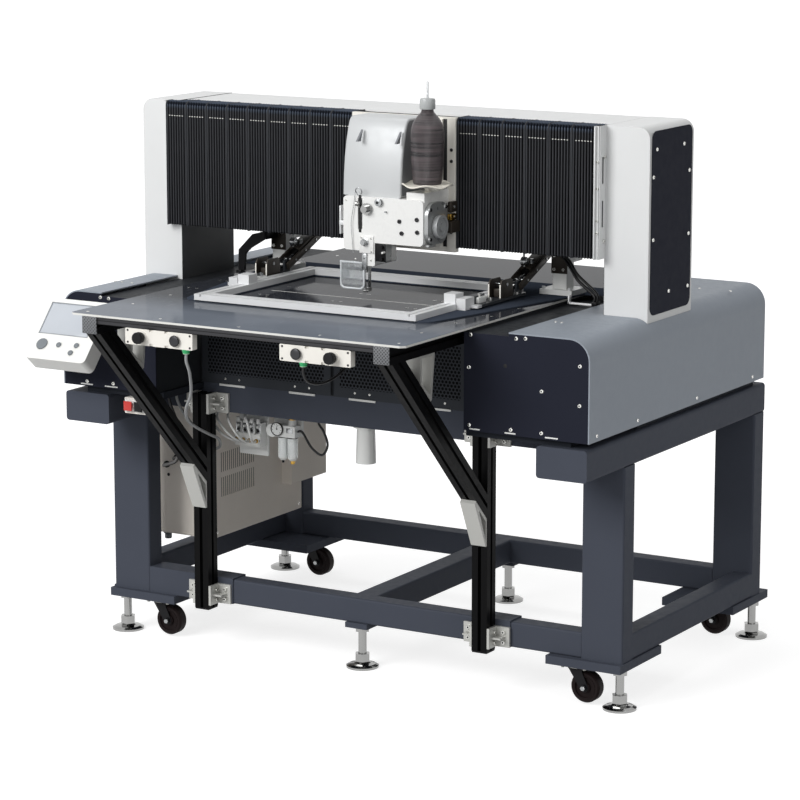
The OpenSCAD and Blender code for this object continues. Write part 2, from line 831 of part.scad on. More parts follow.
// Carriage plate with its four runner blocks and the linear motor's coil
module head_carriage() {
    block_y = beam_y - 8;
    color("silver") at_needle() difference() {
        union() {
            block(plate_l, plate_r, plate_y, plate_y + plate_t, head_bottom, bridge_top);
            for (x = [-70, 130], z = [low_rail_z, high_rail_z])
                block(x, x + 60, plate_y + plate_t - tiny, block_y, z - 12, z + rail_w + 12);
            block(-60, 150, plate_y + plate_t - tiny, beam_y - 8, low_rail_z + 64,
                high_rail_z - 44);
        }
        for (x = [-71, 129], z = [low_rail_z, high_rail_z])
            block(x, x + 62, beam_y - rail_h - run_gap, beam_y, z - run_gap,
                z + rail_w + run_gap);
        for (z = [1046, 1078, 1210, 1236])
            translate([plate_r - 11, plate_y + 5, z]) rod_y(7, 20);
    }
}

// Outline of the head cover from the side, its top curving back
module cover_side(front, top, back) {
    knee = top - 85;
    r = 143;
    intersection() {
        translate([front, arm_top]) square([back - front, top - arm_top]);
        union() {
            translate([front, arm_top]) square([2 * r, knee - arm_top]);
            translate([front + r, knee]) circle(r, $fn = 128);
        }
    }
}

module head_cover() {
    t = 3;
    color("gray") at_needle() {
        difference() {
            profile_x(-39, 114) cover_side(-37, bridge_top, plate_y);
            profile_x(-39 + t, 114 - t) translate([0, -tiny])
                cover_side(-37 + t, bridge_top - t, plate_y + 1);
        }
        for (x = [3, 106]) profile_x(x, x + 5)
            polygon([[-31, bridge_top - 56], [-48, bridge_top - 56], [-22, bridge_top - 28]]);
    }
}

// White casting of the arm: the arm, its nose, the raised box and the take-up slot
module sewing_arm() {
    color("white") at_needle() {
        translate([take_up_x, take_up_y, take_up_z]) rod_x(take_up_pin_d, 12 + 2 * tiny);
        arm_casting();
    }
}

module arm_casting() {
    difference() {
        union() {
            profile_y(arm_front, arm_back) arm_outline();
            block(134, arm_end, arm_front + 6, plate_y, arm_top - 30, arm_top + 16);
            block(-20, 150, arm_back - tiny, plate_y, arm_bottom + 20, arm_top);
        }
        translate([0, 0, nose_bottom - 1]) cylinder(d = needle_bar_d + 2 * fit, h = 150);
        translate([0, presser_y, nose_bottom - 1]) cylinder(d = 7 + 2 * fit, h = 120);
        block(-40, 20, arm_front - 1, 8, nose_bottom - 1, nose_bottom + 34);
        block(-40, -10, -20, arm_back + 1, nose_bottom - 1, nose_bottom + 34);
        block(take_up_x - 6, take_up_x + 6, arm_front - 1, 0, arm_bottom + 30, arm_top - 4);
        translate([arm_end, 0, shaft_z]) rod_x(shaft_d + 2, 20);
    }
}

module arm_outline() {
    r = 10;
    translate([-31, arm_bottom - 20]) round_rect(84, arm_top - arm_bottom + 20, r);
    translate([40, arm_bottom]) round_rect(arm_end - 40, arm_top - arm_bottom, r);
    translate([-14, nose_bottom]) round_rect(nose_right + 14, 70, 5);
}

// Bearing cover on the arm's end, and the small presser motor below the arm
module head_motor() {
    color("dimgray") at_needle() {
        difference() {
            bar_x(arm_end, arm_end + 11, arm_front + 3, arm_back - 4, arm_bottom + 2, arm_top - 7,
                30);
            translate([arm_end, 0, shaft_z]) rod_x(shaft_d + 2 * fit, 30);
        }
        bar_y(nose_right + run_gap, nose_right + 29, arm_front + 2, -20, nose_bottom + 10,
            arm_bottom, 4);
    }
}

// Dished handwheel on the end of the upper shaft
module handwheel() {
    color("silver") at_needle() translate([arm_end + 12, 0, shaft_z]) {
        difference() {
            translate([6, 0, 0]) rod_x(handwheel_d, 12);
            translate([11, 0, 0]) rod_x(handwheel_d - 12, 6);
        }
        translate([9, 0, 0]) rod_x(20, 8);
        translate([-8, 0, 0]) rod_x(shaft_d, 24);
    }
}

// Clear guard in front of the needle, hung on a strap from the nose
module eye_guard() {
    color("lightcyan", 0.5) at_needle() {
        bar_y(-39, 27, arm_front - 2.5, arm_front, table_top_z + 30, nose_bottom + 8, 8);
        block(23, 33, arm_front - 2.5, arm_front, nose_bottom - 10, nose_bottom + 30);
        block(-39, -36.5, arm_front - 1, -12, table_top_z + 50, nose_bottom);
    }
}

// Wavy spool tray on its pillar, with the spool pin
module spool_stand() {
    top = arm_top + 16;
    tray = top + 16;
    color("whitesmoke") at_needle() translate([172, -12, 0]) {
        translate([0, 0, top]) cylinder(d = 12, h = 17);
        difference() {
            union() {
                translate([0, 0, tray]) cylinder(d = 104, h = 12);
                for (a = [0 : 45 : 315]) rotate(a) translate([41, 0, tray])
                    cylinder(d = 30, h = 12);
            }
            translate([0, 0, tray + 3]) cylinder(d = 98, h = 12);
        }
        translate([0, 0, tray]) cylinder(d = 5, h = 236);
    }
}

// Cone of thread with its cap, dropped over the spool pin
module thread_spool() {
    base = arm_top + 16 + 16 + 3;
    color("black") at_needle() translate([172, -12, base]) rotate_extrude() polygon([
        [2.6, 0], [36, 0], [37, 4], [36.5, 122], [34, 136], [28, 150], [19, 160], [14, 164],
        [14, 170], [18, 170], [18, 192], [15, 195], [2.6, 195]]);
}

module tension_knob() {
    color("silver") at_needle() translate([34, arm_front, arm_top - 27]) {
        translate([0, -6, 0]) rod_y(26, 4);
        translate([0, -13, 0]) rod_y(16, 12);
        translate([0, -2.2, 0]) rod_y(6, 4);
    }
}

module needle_bar() {
    color("silver") at_needle() {
        translate([0, 0, nose_bottom - 10]) cylinder(d = needle_bar_d, h = 136);
        translate([0, 0, nose_bottom - 24]) cylinder(d = 11, h = 14);
        translate([0, 0, needle_tip_z + 12]) cylinder(d = 1.6, h = nose_bottom - needle_tip_z - 30);
        translate([0, 0, needle_tip_z]) cylinder(d1 = 0.3, d2 = 1.6, h = 12);
    }
}

// Take-up lever: hub on its pin, arm through the slot, and the eye for the thread
module take_up_lever() {
    color("silver") at_needle() translate([take_up_x, take_up_y, take_up_z]) difference() {
        union() {
            rod_x(12, 11);
            profile_x(-2, 2) polygon([[-4, -4], [3, 5], [-48, 36], [-52, 30]]);
            translate([0, -52, 34]) rod_x(12, 4);
        }
        rod_x(take_up_pin_d + 2 * fit, 12);
        translate([0, -52, 34]) rod_x(5, 6);
    }
}

// Presser bar with its foot ring round the needle
module presser_foot() {
    color("silver") at_needle() {
        translate([0, presser_y, foot_z + 8]) cylinder(d = 7, h = nose_bottom + 80 - foot_z - 8);
        difference() {
            union() {
                translate([0, 0, foot_z]) cylinder(d = 12, h = 3);
                block(-3.5, 3.5, 4, presser_y + 3.5, foot_z, foot_z + 3);
                block(-3.5, 3.5, 8, presser_y + 3.5, foot_z, foot_z + 8);
            }
            translate([0, 0, foot_z - 1]) cylinder(d = 4, h = 12);
        }
    }
}

// ---------- Work clamp ----------

// Points along a round corner of the feed plate
function corner(x, y, r, a0, a1) = [for (k = [0 : 4]) let (a = a0 + (a1 - a0) * k / 4)
    [x + r * cos(a), y + r * sin(a)]];

module feed_outline() {
    front = window_front - 30;
    wing = feed_slot_x + 9 - clamp_x;
    r = 30;
    half = concat(
        corner(feed_half - r, front + r, r, 270, 360),
        [[feed_half + 107, 308], [wing, 330], [wing, feed_rear]]);
    polygon(concat(half, [for (i = [len(half) - 1 : -1 : 0]) [-half[i][0], half[i][1]]]));
}

// Feed plate with its sewing window, and the two brackets down to the side runners
module feed_plate() {
    color("slategray") {
        difference() {
            translate([clamp_x, 0, feed_z]) linear_extrude(feed_t) feed_outline();
            block(clamp_x - window_w / 2, clamp_x + window_w / 2, window_front, window_back,
                feed_z - 1, feed_top + 1);
        }
        both_sides() difference() {
            union() {
                block(feed_slot_x - 5, feed_slot_x + 5, 340, 405, feed_rail_top + 20,
                    feed_z + tiny);
                block(feed_slot_x - 24, feed_slot_x + 24, 335, feed_rear, feed_rail_top + 4,
                    feed_rail_top + 34);
            }
            block(feed_slot_x - rail_w / 2 - run_gap, feed_slot_x + rail_w / 2 + run_gap, 330,
                feed_rear + 5, feed_rail_top, feed_rail_top + rail_h + run_gap);
        }
    }
}

// Upright posts on the feed plate that carry the lift cylinders' pins
module lift_posts() {
    color("whitesmoke") for (s = [-1, 1]) translate([clamp_x - 1 + s * post_x, 0, 0]) {
        block(-42, 42, post_y - 38, post_y + 38, feed_top, feed_top + 12);
        bar_z(-19, 19, post_y - 19, post_y + 19, feed_top + 12 - tiny, post_top, 3);
        block(-19, 19, post_y + 19 - tiny, lift_pin_y + 15, post_top - 30, post_top);
        translate([-s * 48, lift_pin_y, lift_pin_z]) rod_x(lift_bore_d, 60);
        translate([-s * 38, lift_pin_y, lift_pin_z]) rod_x(16, 40);
    }
}

// Groove along the top of a clamp frame bar
module clamp_bar_x(x0, x1, y) {
    difference() {
        block(x0, x1, y, y + clamp_bar_w, feed_top, clamp_top);
        block(x0 - 1, x1 + 1, y + clamp_bar_w / 2 - 2.5, y + clamp_bar_w / 2 + 2.5, clamp_top - 6,
            clamp_top + 1);
    }
}

module clamp_frame() {
    x0 = clamp_x - frame_half;
    x1 = clamp_x + frame_half;
    color("gainsboro") {
        for (y = [window_front - clamp_bar_w, window_back])
            clamp_bar_x(x0 + clamp_bar_w + joint, x1 - clamp_bar_w - joint, y);
        for (x = [x0, x1 - clamp_bar_w]) difference() {
            block(x, x + clamp_bar_w, window_front - clamp_bar_w, window_back + clamp_bar_w,
                feed_top, clamp_top);
            block(x + clamp_bar_w / 2 - 2.5, x + clamp_bar_w / 2 + 2.5,
                window_front - clamp_bar_w - 1, window_back + clamp_bar_w + 1, clamp_top - 6,
                clamp_top + 1);
        }
    }
}

// Clamp blocks, their holders, and the arms with the clevises that the lift rods act on
module clamp_fittings() {
    edge = frame_half;
    arm_z = feed_top + 4;
    color("white") translate([clamp_x, 0, 0]) both_sides() {
        block(edge - clamp_bar_w + 2, edge - 2, -45, -8, clamp_top, clamp_top + 22);
        block(edge + 0.2, edge + 24, -45, 40, feed_top + 0.5, clamp_top + 13);
        bar_z(edge + 2, lift_x + 21, -24, lift_end_y + 20, arm_z, arm_z + 6, 5);
        for (x = [-12, 7]) difference() {
            block(lift_x + x, lift_x + x + 5, lift_end_y - 12, lift_end_y + 12,
                arm_z + 5, lift_end_z + 12);
            translate([lift_x + x + 2.5, lift_end_y, lift_end_z]) rod_x(8, 8);
        }
        translate([lift_x, lift_end_y, lift_end_z]) rod_x(8, 24);
    }
}

// Things on a lift cylinder's line, from its rear pin at the origin towards the front
module along_lift() {
    translate([0, lift_pin_y, lift_pin_z]) rotate([90 + lift_tilt, 0, 0]) children();
}

module lift_cylinders() {
    color("dimgray") for (s = [-1, 1])
        translate([clamp_x + s * lift_x, 0, 0]) along_lift() difference() {
            union() {
                rod_x(20, 12);
                translate([-4, -6, 6]) cube([8, 12, 18]);
                translate([0, 0, 22]) cylinder(d = 25, h = 88);
            }
            rod_x(lift_bore_d + 2 * fit, 14);
            translate([0, 0, 40]) cylinder(d = 8 + 2 * fit, h = 80);
        }
}

module lift_rods() {
    color("silver") for (s = [-1, 1])
        translate([clamp_x + s * lift_x, 0, 0]) along_lift() difference() {
            union() {
                translate([0, 0, 56]) cylinder(d = 8, h = lift_len - 62);
                translate([0, 0, lift_len]) rod_x(18, 12);
            }
            translate([0, 0, lift_len]) rod_x(10, 14);
        }
}

// ---------- Boxes, panel and air ----------

// Start switch box under the front rail, with its cable gland; stop_side is -1 or 1
module switch_box(x, stop_side, gland) {
    front = -table_front;
    top = table_under - front_rail_h;
    difference() {
        bar_y(x - switch_box_w / 2, x + switch_box_w / 2, front, front + switch_box_t, top - 37, top,
            3);
        for (s = [-1, 1]) translate([x + s * 46, front + 6, top - 18.5])
            rod_y(12 + 2 * fit, 14);
        for (s = [-1, 1]) for (z = [top - 38, top - 5])
            block(x + s * 21 - 5, x + s * 21 + 5, front - 1, front + 4, z, z + 6);
    }
    translate([x + stop_side * 46, front - 1, top - 18.5]) difference() {
        rod_y(28, 2.5);
        rod_y(12 + 2 * fit, 4);
    }
    translate([gland, front + switch_box_t / 2, top - 47]) cylinder(d = 15, h = 11);
}

module switch_boxes() {
    color("white") {
        switch_box(left_box_x, -1, left_cable[0][0]);
        switch_box(right_box_x, 1, right_cable[0][0]);
        difference() {
            bar_y(power_x - 30, power_x + 30, -beam_front, -beam_front + 62, beam_top - 38,
                beam_top, 3);
            for (s = [-1, 1]) translate([power_x + s * 15, -beam_front + 6, beam_top - 19])
                rod_y(12 + 2 * fit, 14);
        }
    }
}

// A push button: a cap of the diameter given in front of its stem
module push_button(d, proud) {
    translate([0, -proud / 2, 0]) rod_y(d, proud);
    translate([0, 5, 0]) rod_y(12, 10 + 2 * tiny);
}

module at_switch(x, side, gap) {
    translate([x + side * 46, -table_front - gap, table_under - front_rail_h - 18.5]) children();
}

module stop_button(x, side) {
    color("black") at_switch(x, side, 6.5) push_button(button_d, 14);
}

module start_button(x, side) {
    color("black") at_switch(x, side, 4.5) push_button(button_d, 3);
}

module left_stop_button() { stop_button(left_box_x, -1); }
module left_start_button() { start_button(left_box_x, 1); }
module right_start_button() { start_button(right_box_x, -1); }
module right_stop_button() { stop_button(right_box_x, 1); }

module at_power(side) {
    translate([power_x + side * 15, -beam_front - 4, beam_top - 19]) children();
}

module power_on_button() { color("black") at_power(1) push_button(20, 4); }
module power_off_button() { color("red") at_power(-1) push_button(20, 4); }

// Places things in the frame of the panel's tilted face: X across, Y up the slope, Z off it
module on_panel() {
    translate([panel_x, panel_y, panel_z]) rotate([panel_tilt, 0, 0]) children();
}

module operation_panel() {
    color("ivory") {
        on_panel() difference() {
            bar_z(0, panel_w, 0, panel_h, -panel_t, 0, 12);
            profile_x(-1, panel_w + 1) polygon([
                [110, -panel_t - 1], [panel_h + 2, -20], [panel_h + 2, -panel_t - 1]]);
            block(12, panel_w - 22, 70, panel_h - 12, -2, 1);
            for (k = keys) translate([k[0], k[1], -9]) cylinder(d = k[2] + 0.4, h = 10);
        }
        difference() {
            union() {
                translate([-640, hinge_y, hinge_z]) rod_x(18, 28);
                translate([-640, hinge_y, hinge_z]) rotate([panel_tilt, 0, 0])
                    translate([-13, -7, 0]) cube([26, 14, 14]);
            }
            translate([-640, hinge_y, hinge_z]) rod_x(hinge_d + 2 * fit, 30);
        }
    }
}

module panel_key(i) {
    on_panel() translate([keys[i][0], keys[i][1], -5]) cylinder(d = keys[i][2], h = 8);
}

module panel_start_button() { color("gray") panel_key(0); }
module panel_key_left() { color("silver") panel_key(1); }
module panel_key_right() { color("silver") panel_key(2); }
module panel_key_lower() { color("silver") panel_key(3); }

// Control box hung from the left side beam, with two banks of louvres in its inner face and a
// box for the drives behind it
module control_box() {
    beam_under = beam_top - side_beam_h;
    x0 = -half_w + 10;
    x1 = x0 + control_w;
    z1 = beam_under - 9;
    z0 = z1 - control_h;
    color("ivory") difference() {
        union() {
            bar_y(x0, x1, 118, 518, z0, z1, 4);
            bar_y(x0, x1 + drive_box_t, 426, 591, z0 + control_h / 4, z1, 4);
            for (y = [150, 440])
                block(x0 + 20, -half_w + side_beam_w - 5, y, y + 40, z1 - tiny, beam_under);
        }
        for (i = [0 : louvres - 1], z = [z1 - 230, z1 - 167])
            block(x1 - 2, x1 + 1, 150 + 9 * i, 150 + 9 * i + louvre_w, z, z + 50);
    }
}

// Valve manifold and the two-stage air filter with its gauge, hung from the hook pan
module air_unit() {
    pan = beam_top - 51;
    color("gainsboro") {
        block(-385, -303, 62, 68, pan - 118, pan);
        block(-381, -307, 34, 62, pan - 92, pan - 62);
        for (i = [0 : 3]) bar_z(-379 + 19 * i, -363 + 19 * i, 36, 60, pan - 62, pan - 34, 2);
        for (i = [0 : 3]) translate([-371 + 19 * i, 32, pan - 76]) rod_y(10, 10);
        block(-285, -205, 62, 68, pan - 60, pan);
        block(-268, -209, 34, 62, pan - 60, pan - 32);
        for (x = [-251, -224]) translate([x, 48, pan - 112]) {
            cylinder(d = 24, h = 52 + tiny);
            translate([0, 0, -6]) cylinder(d1 = 14, d2 = 24, h = 6 + tiny);
        }
        translate([-224, 48, pan - 32]) cylinder(d = 20, h = 14);
        translate([-273, 40, pan - 46]) rod_y(32, 16);
    }
}

// ---------- Cables and air lines ----------

function unit(v) = v / norm(v);

// Tube of eight sides along a route, which nowhere runs in the direction given by side
module cable(route, d, side) {
    n = len(route) - 1;
    rings = [for (i = [0 : n]) let (
        along = unit(route[min(i + 1, n)] - route[max(i - 1, 0)]),
        u = unit(cross(side, along)),
        v = cross(along, u))
        [for (k = [0 : 7]) route[i] + d / 2 * (cos(45 * k) * u + sin(45 * k) * v)]];
    polyhedron(
        points = [for (ring = rings) for (p = ring) p],
        faces = concat(
            [[for (k = [0 : 7]) k]],
            [for (i = [0 : n - 1]) for (k = [0 : 7]) let (a = 8 * i + k, b = 8 * i + (k + 1) % 8)
                [a, a + 8, b + 8, b]],
            [[for (k = [7 : -1 : 0]) 8 * n + k]]));
}

// Leads of the switches and of the control box, and the lines of the air unit
module cables() {
    color("black") {
        cable(left_cable, 7, [1, 0.2, 0]);
        cable(right_cable, 6, [1, 0, 0]);
        for (i = [0 : 3]) cable(box_cables[i], [9, 8, 7, 7][i], [1, 0.6, 0]);
        for (route = air_lines) cable(route, 6, [0, 0.3, 1]);
        cable(filter_line, 6, [0, 1, 0]);
    }
}

side_frames();
lower_beams();
levelling_feet();
machine_bed();
guide_rails();
hook_pan();
waste_tube();
table_profiles();
brackets();
perforated_panels();
table_top();
side_covers();
navy_panels();
inner_covers();
gantry_covers();
bellows_left();
bellows_right();
switch_boxes();
control_box();
air_unit();
cables();
caster_fork_fl();
caster_fork_fr();
caster_fork_rl();
caster_fork_rr();
caster_wheel_fl();
caster_wheel_fr();
caster_wheel_rl();
caster_wheel_rr();
head_carriage();
head_cover();
sewing_arm();
head_motor();
eye_guard();
spool_stand();
thread_spool();
tension_knob();
handwheel();
needle_bar();
take_up_lever();
presser_foot();
hook_carriage();
rotary_hook();
feed_plate();
lift_posts();
clamp_frame();
clamp_fittings();
lift_cylinders();
lift_rods();
operation_panel();
panel_start_button();
panel_key_left();
panel_key_right();
panel_key_lower();
left_stop_button();
left_start_button();
right_start_button();
right_stop_button();
power_on_button();
power_off_button();
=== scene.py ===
"""Looks of the programmable pattern sewing machine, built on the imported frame."""
import math

import bmesh
import bpy
from mathutils import Matrix, Vector


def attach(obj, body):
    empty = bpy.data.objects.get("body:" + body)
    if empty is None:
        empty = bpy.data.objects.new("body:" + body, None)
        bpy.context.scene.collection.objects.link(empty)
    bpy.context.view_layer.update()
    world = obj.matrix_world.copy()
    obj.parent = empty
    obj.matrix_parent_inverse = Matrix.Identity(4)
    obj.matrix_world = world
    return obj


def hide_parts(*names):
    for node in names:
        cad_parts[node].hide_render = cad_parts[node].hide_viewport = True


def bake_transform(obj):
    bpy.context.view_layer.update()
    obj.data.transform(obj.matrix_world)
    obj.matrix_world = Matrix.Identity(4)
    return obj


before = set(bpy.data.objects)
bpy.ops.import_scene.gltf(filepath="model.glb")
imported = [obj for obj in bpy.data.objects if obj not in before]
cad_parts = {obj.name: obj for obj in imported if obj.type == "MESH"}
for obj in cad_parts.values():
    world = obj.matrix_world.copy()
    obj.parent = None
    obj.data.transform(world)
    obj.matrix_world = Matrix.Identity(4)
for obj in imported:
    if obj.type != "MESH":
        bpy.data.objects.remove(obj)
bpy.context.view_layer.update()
MM = 0.001
COLUMN_INNER = 0.576        # inner faces of the columns, metres from the middle
PANEL_MIDDLE, PANEL_HALF = 0.738, 0.062   # height of the perforated fields
MACHINED_FRONT = -0.004     # the clamp arms are bare metal in front of this
# painted light: the bellows' top edge is lighter and bluer between these heights
BELLOWS_EDGE = 1.292, 1.302  # the pleats turn bluer between these heights
TABLE_FACE = 0.8846, 0.8849  # between the plate's side and its polished face

# ---------------------------------------------------------------- materials


def lin(code):
    """Linear colour of an sRGB hex code."""
    out = []
    for i in (0, 2, 4):
        v = int(code[i:i + 2], 16) / 255
        out.append(v / 12.92 if v <= 0.04045 else ((v + 0.055) / 1.055) ** 2.4)
    return (*out, 1)


class Nodes:
    """A material's node tree with short calls for the nodes used here."""

    def __init__(self, name):
        self.mat = bpy.data.materials.new(name)
        self.mat.use_nodes = True
        self.tree = self.mat.node_tree
        self.bsdf = self.tree.nodes["Principled BSDF"]
        self.coords = self.tree.nodes.new("ShaderNodeTexCoord").outputs["Object"]
        self.split = None

    def link(self, value, socket):
        if isinstance(value, (int, float, tuple)):
            socket.default_value = value
        else:
            self.tree.links.new(value, socket)

    def math(self, op, a, b=0.0, c=0.0):
        n = self.tree.nodes.new("ShaderNodeMath")
        n.operation = op
        for v, s in zip((a, b, c), n.inputs):
            self.link(v, s)
        return n.outputs[0]

    def axis(self, i):
        if self.split is None:
            self.split = self.tree.nodes.new("ShaderNodeSeparateXYZ")
            self.link(self.coords, self.split.inputs[0])
        return self.split.outputs[i]

    def scaled(self, x, y, z):
        n = self.tree.nodes.new("ShaderNodeMapping")
        self.link(self.coords, n.inputs["Vector"])
        n.inputs["Scale"].default_value = (x, y, z)
        return n.outputs[0]

    def noise(self, scale, detail=3.0, vector=None, rough=0.55):
        n = self.tree.nodes.new("ShaderNodeTexNoise")
        self.link(vector or self.coords, n.inputs["Vector"])
        n.inputs["Scale"].default_value = scale
        n.inputs["Detail"].default_value = detail
        n.inputs["Roughness"].default_value = rough
        return n.outputs["Fac"]

    def mix(self, factor, a, b):
        n = self.tree.nodes.new("ShaderNodeMix")
        n.data_type = "RGBA"
        self.link(factor, n.inputs["Factor"])
        self.link(a, n.inputs["A"])
        self.link(b, n.inputs["B"])
        return n.outputs["Result"]

    def ramp(self, value, low, high, to_low=0.0, to_high=1.0):
        n = self.tree.nodes.new("ShaderNodeMapRange")
        self.link(value, n.inputs["Value"])
        for s, v in zip(("From Min", "From Max", "To Min", "To Max"), (low, high, to_low, to_high)):
            n.inputs[s].default_value = v
        return n.outputs["Result"]

    def bump(self, height, strength, distance):
        n = self.tree.nodes.new("ShaderNodeBump")
        n.inputs["Strength"].default_value = strength
        n.inputs["Distance"].default_value = distance
        self.link(height, n.inputs["Height"])
        self.link(n.outputs[0], self.bsdf.inputs["Normal"])

    def set(self, **values):
        names = {"color": "Base Color", "rough": "Roughness", "metal": "Metallic", "coat": "Coat Weight",
                 "coat_rough": "Coat Roughness", "alpha": "Alpha", "glass": "Transmission Weight",
                 "ior": "IOR", "sheen": "Sheen Weight", "spec": "Specular IOR Level", "glow": "Emission Strength",
                 "glow_color": "Emission Color"}
        for k, v in values.items():
            self.link(v, self.bsdf.inputs[names[k]])
        return self.mat


def speckled(n, code, amount, scale=9.0):
    """Base colour that drifts a little from place to place."""
    c = lin(code)
    dark = tuple(v * (1 - amount) for v in c[:3]) + (1,)
    light = tuple(min(1, v * (1 + amount)) for v in c[:3]) + (1,)
    return n.mix(n.noise(scale, 4), dark, light)


def paint(name, code, rough=0.45, metal=0.0, coat=0.0, spec=0.25, grain=0.25, grain_scale=900.0, drift=0.05):
    """Sprayed paint with a fine orange-peel grain."""
    n = Nodes(name)
    fine = n.noise(grain_scale, 2)
    n.bump(fine, grain, 0.0002)
    return n.set(color=speckled(n, code, drift), rough=n.ramp(n.noise(60, 3), 0.3, 0.7, rough - 0.05, rough + 0.06),
                 metal=metal, coat=coat, coat_rough=0.12, spec=spec)


def metal(name, code, rough=0.3, stretch=(1, 1, 1), grain=0.15, scale=500.0, amount=0.06):
    """Bare metal with a brushed or ground grain along the unstretched axis."""
    n = Nodes(name)
    fine = n.noise(scale, 3, n.scaled(*stretch))
    n.bump(fine, grain, 0.00015)
    return n.set(color=speckled(n, code, amount, 14),
                 rough=n.ramp(fine, 0.3, 0.7, rough - 0.06, rough + 0.08), metal=1.0)


def plastic(name, code, rough=0.4, grain=0.2, grain_scale=1400.0, coat=0.0, spec=0.3):
    """Moulded plastic, rubber or film with a faint texture."""
    n = Nodes(name)
    n.bump(n.noise(grain_scale, 2), grain, 0.0001)
    return n.set(color=speckled(n, code, 0.03, 20), coat=coat, coat_rough=0.1, spec=spec,
                 rough=n.ramp(n.noise(80, 3), 0.3, 0.7, rough - 0.04, rough + 0.05))


PANEL_FIELDS = [(-414, -88), (-44, 280), (322, 372)]


def perforated(name):
    """Dark steel sheet with round holes in offset rows, inside a plain margin; the holes are painted near-black, as
    painted shade, not cut.
    """
    n = Nodes(name)
    pitch, radius = 0.0095, 0.0033
    x, z = n.axis(0), n.axis(2)

    def nearest(shift):
        u = n.math("SUBTRACT", n.math("FRACT", n.math("ADD", n.math("DIVIDE", x, pitch), shift + 100)), 0.5)
        row = pitch * math.sqrt(3)
        w = n.math("SUBTRACT", n.math("FRACT", n.math("ADD", n.math("DIVIDE", z, row), shift + 100)), 0.5)
        du, dw = n.math("MULTIPLY", u, pitch), n.math("MULTIPLY", w, row)
        return n.math("SQRT", n.math("ADD", n.math("MULTIPLY", du, du), n.math("MULTIPLY", dw, dw)))
    hole = n.math("LESS_THAN", n.math("MINIMUM", nearest(0.0), nearest(0.5)), radius)
    inside = n.math("LESS_THAN", n.math("ABSOLUTE", n.math("SUBTRACT", z, PANEL_MIDDLE)), PANEL_HALF)
    fields = 0.0
    for a, b in PANEL_FIELDS:
        f = n.math("LESS_THAN", n.math("ABSOLUTE", n.math("SUBTRACT", x, (a + b) / 2 * MM)), (b - a) / 2 * MM)
        fields = n.math("ADD", f, fields)
    hole = n.math("MULTIPLY", n.math("MULTIPLY", hole, inside), fields)
    n.bump(n.math("SUBTRACT", n.noise(700, 2), n.math("MULTIPLY", hole, 4)), 0.3, 0.0004)
    # painted shade: the holes are coloured near-black
    return n.set(color=n.mix(hole, speckled(n, "3a3d42", 0.06), lin("08080a")),
                 rough=n.ramp(hole, 0, 1, 0.46, 0.9), spec=0.06)


def hatched(name):
    """Moulded end cap with a fine diagonal lattice."""
    n = Nodes(name)
    x, z = n.axis(0), n.axis(2)
    a = n.math("FRACT", n.math("DIVIDE", n.math("ADD", x, z), 0.008))
    b = n.math("FRACT", n.math("ADD", n.math("DIVIDE", n.math("SUBTRACT", x, z), 0.008), 100))
    m = n.math("MULTIPLY", n.math("GREATER_THAN", a, 0.35), n.math("GREATER_THAN", b, 0.35))
    n.bump(m, 0.5, 0.0004)
    return n.set(color=n.mix(m, lin("6b6d70"), lin("2b2c2f")), rough=0.5)


def pleats(name, code, top_code):
    """Coated cloth: dull, with a fine weave, painted lighter and bluer along its top edge for the light from above.
    """
    n = Nodes(name)
    edge = n.ramp(n.axis(2), *BELLOWS_EDGE)
    weave = n.math("ADD", n.noise(1500, 1, n.scaled(0.2, 1, 1)), n.noise(900, 1, n.scaled(1, 1, 0.15)))
    n.bump(weave, 0.35, 0.0002)
    cloth = n.mix(n.noise(12, 3), lin(code), tuple(v * 1.25 for v in lin(code)[:3]) + (1,))
    return n.set(color=n.mix(edge, cloth, lin(top_code)),
                 rough=n.ramp(n.noise(30, 3), 0.3, 0.7, 0.46, 0.62), spec=0.06)


def wound(name):
    """Thread wound on a cone: fine turns that cross, with a soft shine and lighter bands painted in as highlights.
    """
    n = Nodes(name)
    z = n.axis(2)
    turns = n.math("SINE", n.math("ADD", n.math("MULTIPLY", z, 9000), n.math("MULTIPLY", n.noise(60, 2), 9)))
    # painted highlight: lighter colour in bands up the cone
    highlight_bands = n.noise(1, 3, n.scaled(4, 4, 170))
    n.bump(turns, 0.5, 0.0003)
    return n.set(color=n.mix(n.ramp(highlight_bands, 0.35, 0.7), lin("1c191c"), lin("5a5052")),
                 rough=n.ramp(highlight_bands, 0.3, 0.7, 0.24, 0.42), spec=0.45)


def clear(name):
    """Clear plastic, slightly hazed from use."""
    n = Nodes(name)
    n.bump(n.noise(40, 2), 0.05, 0.0002)
    return n.set(color=lin("f2f6f8"), rough=n.ramp(n.noise(90, 2), 0.3, 0.7, 0.03, 0.12),
                 glass=0.9, ior=1.3, alpha=0.75)


def column_paint(name):
    """Light silver paint, with painted shade: dark grey on the inner sides of the two columns."""
    n = Nodes(name)
    n.bump(n.noise(900, 2), 0.18, 0.0002)
    off = n.math("SUBTRACT", n.math("ABSOLUTE", n.axis(0)), COLUMN_INNER)
    # painted shade: the faces on the columns' inner planes take a dark grey
    inside = n.math("LESS_THAN", n.math("ABSOLUTE", off), 0.0008)
    light = n.mix(n.noise(7, 3), lin("d3d4d4"), lin("dadbdb"))
    return n.set(color=n.mix(inside, light, lin("46484a")),
                 rough=n.ramp(n.noise(60, 3), 0.3, 0.7, 0.36, 0.46), metal=0.05, spec=0.2)


def fittings_metal(name):
    """Dark anodised arms with bare machined blocks at their front ends."""
    n = Nodes(name)
    n.bump(n.noise(700, 3, n.scaled(1, 0.1, 1)), 0.1, 0.0001)
    front = n.math("LESS_THAN", n.axis(1), MACHINED_FRONT)
    return n.set(color=n.mix(front, speckled(n, "33363a", 0.08), lin("d6d7d8")),
                 rough=n.ramp(n.noise(60, 3), 0.3, 0.7, 0.34, 0.46), metal=0.15, spec=0.15)


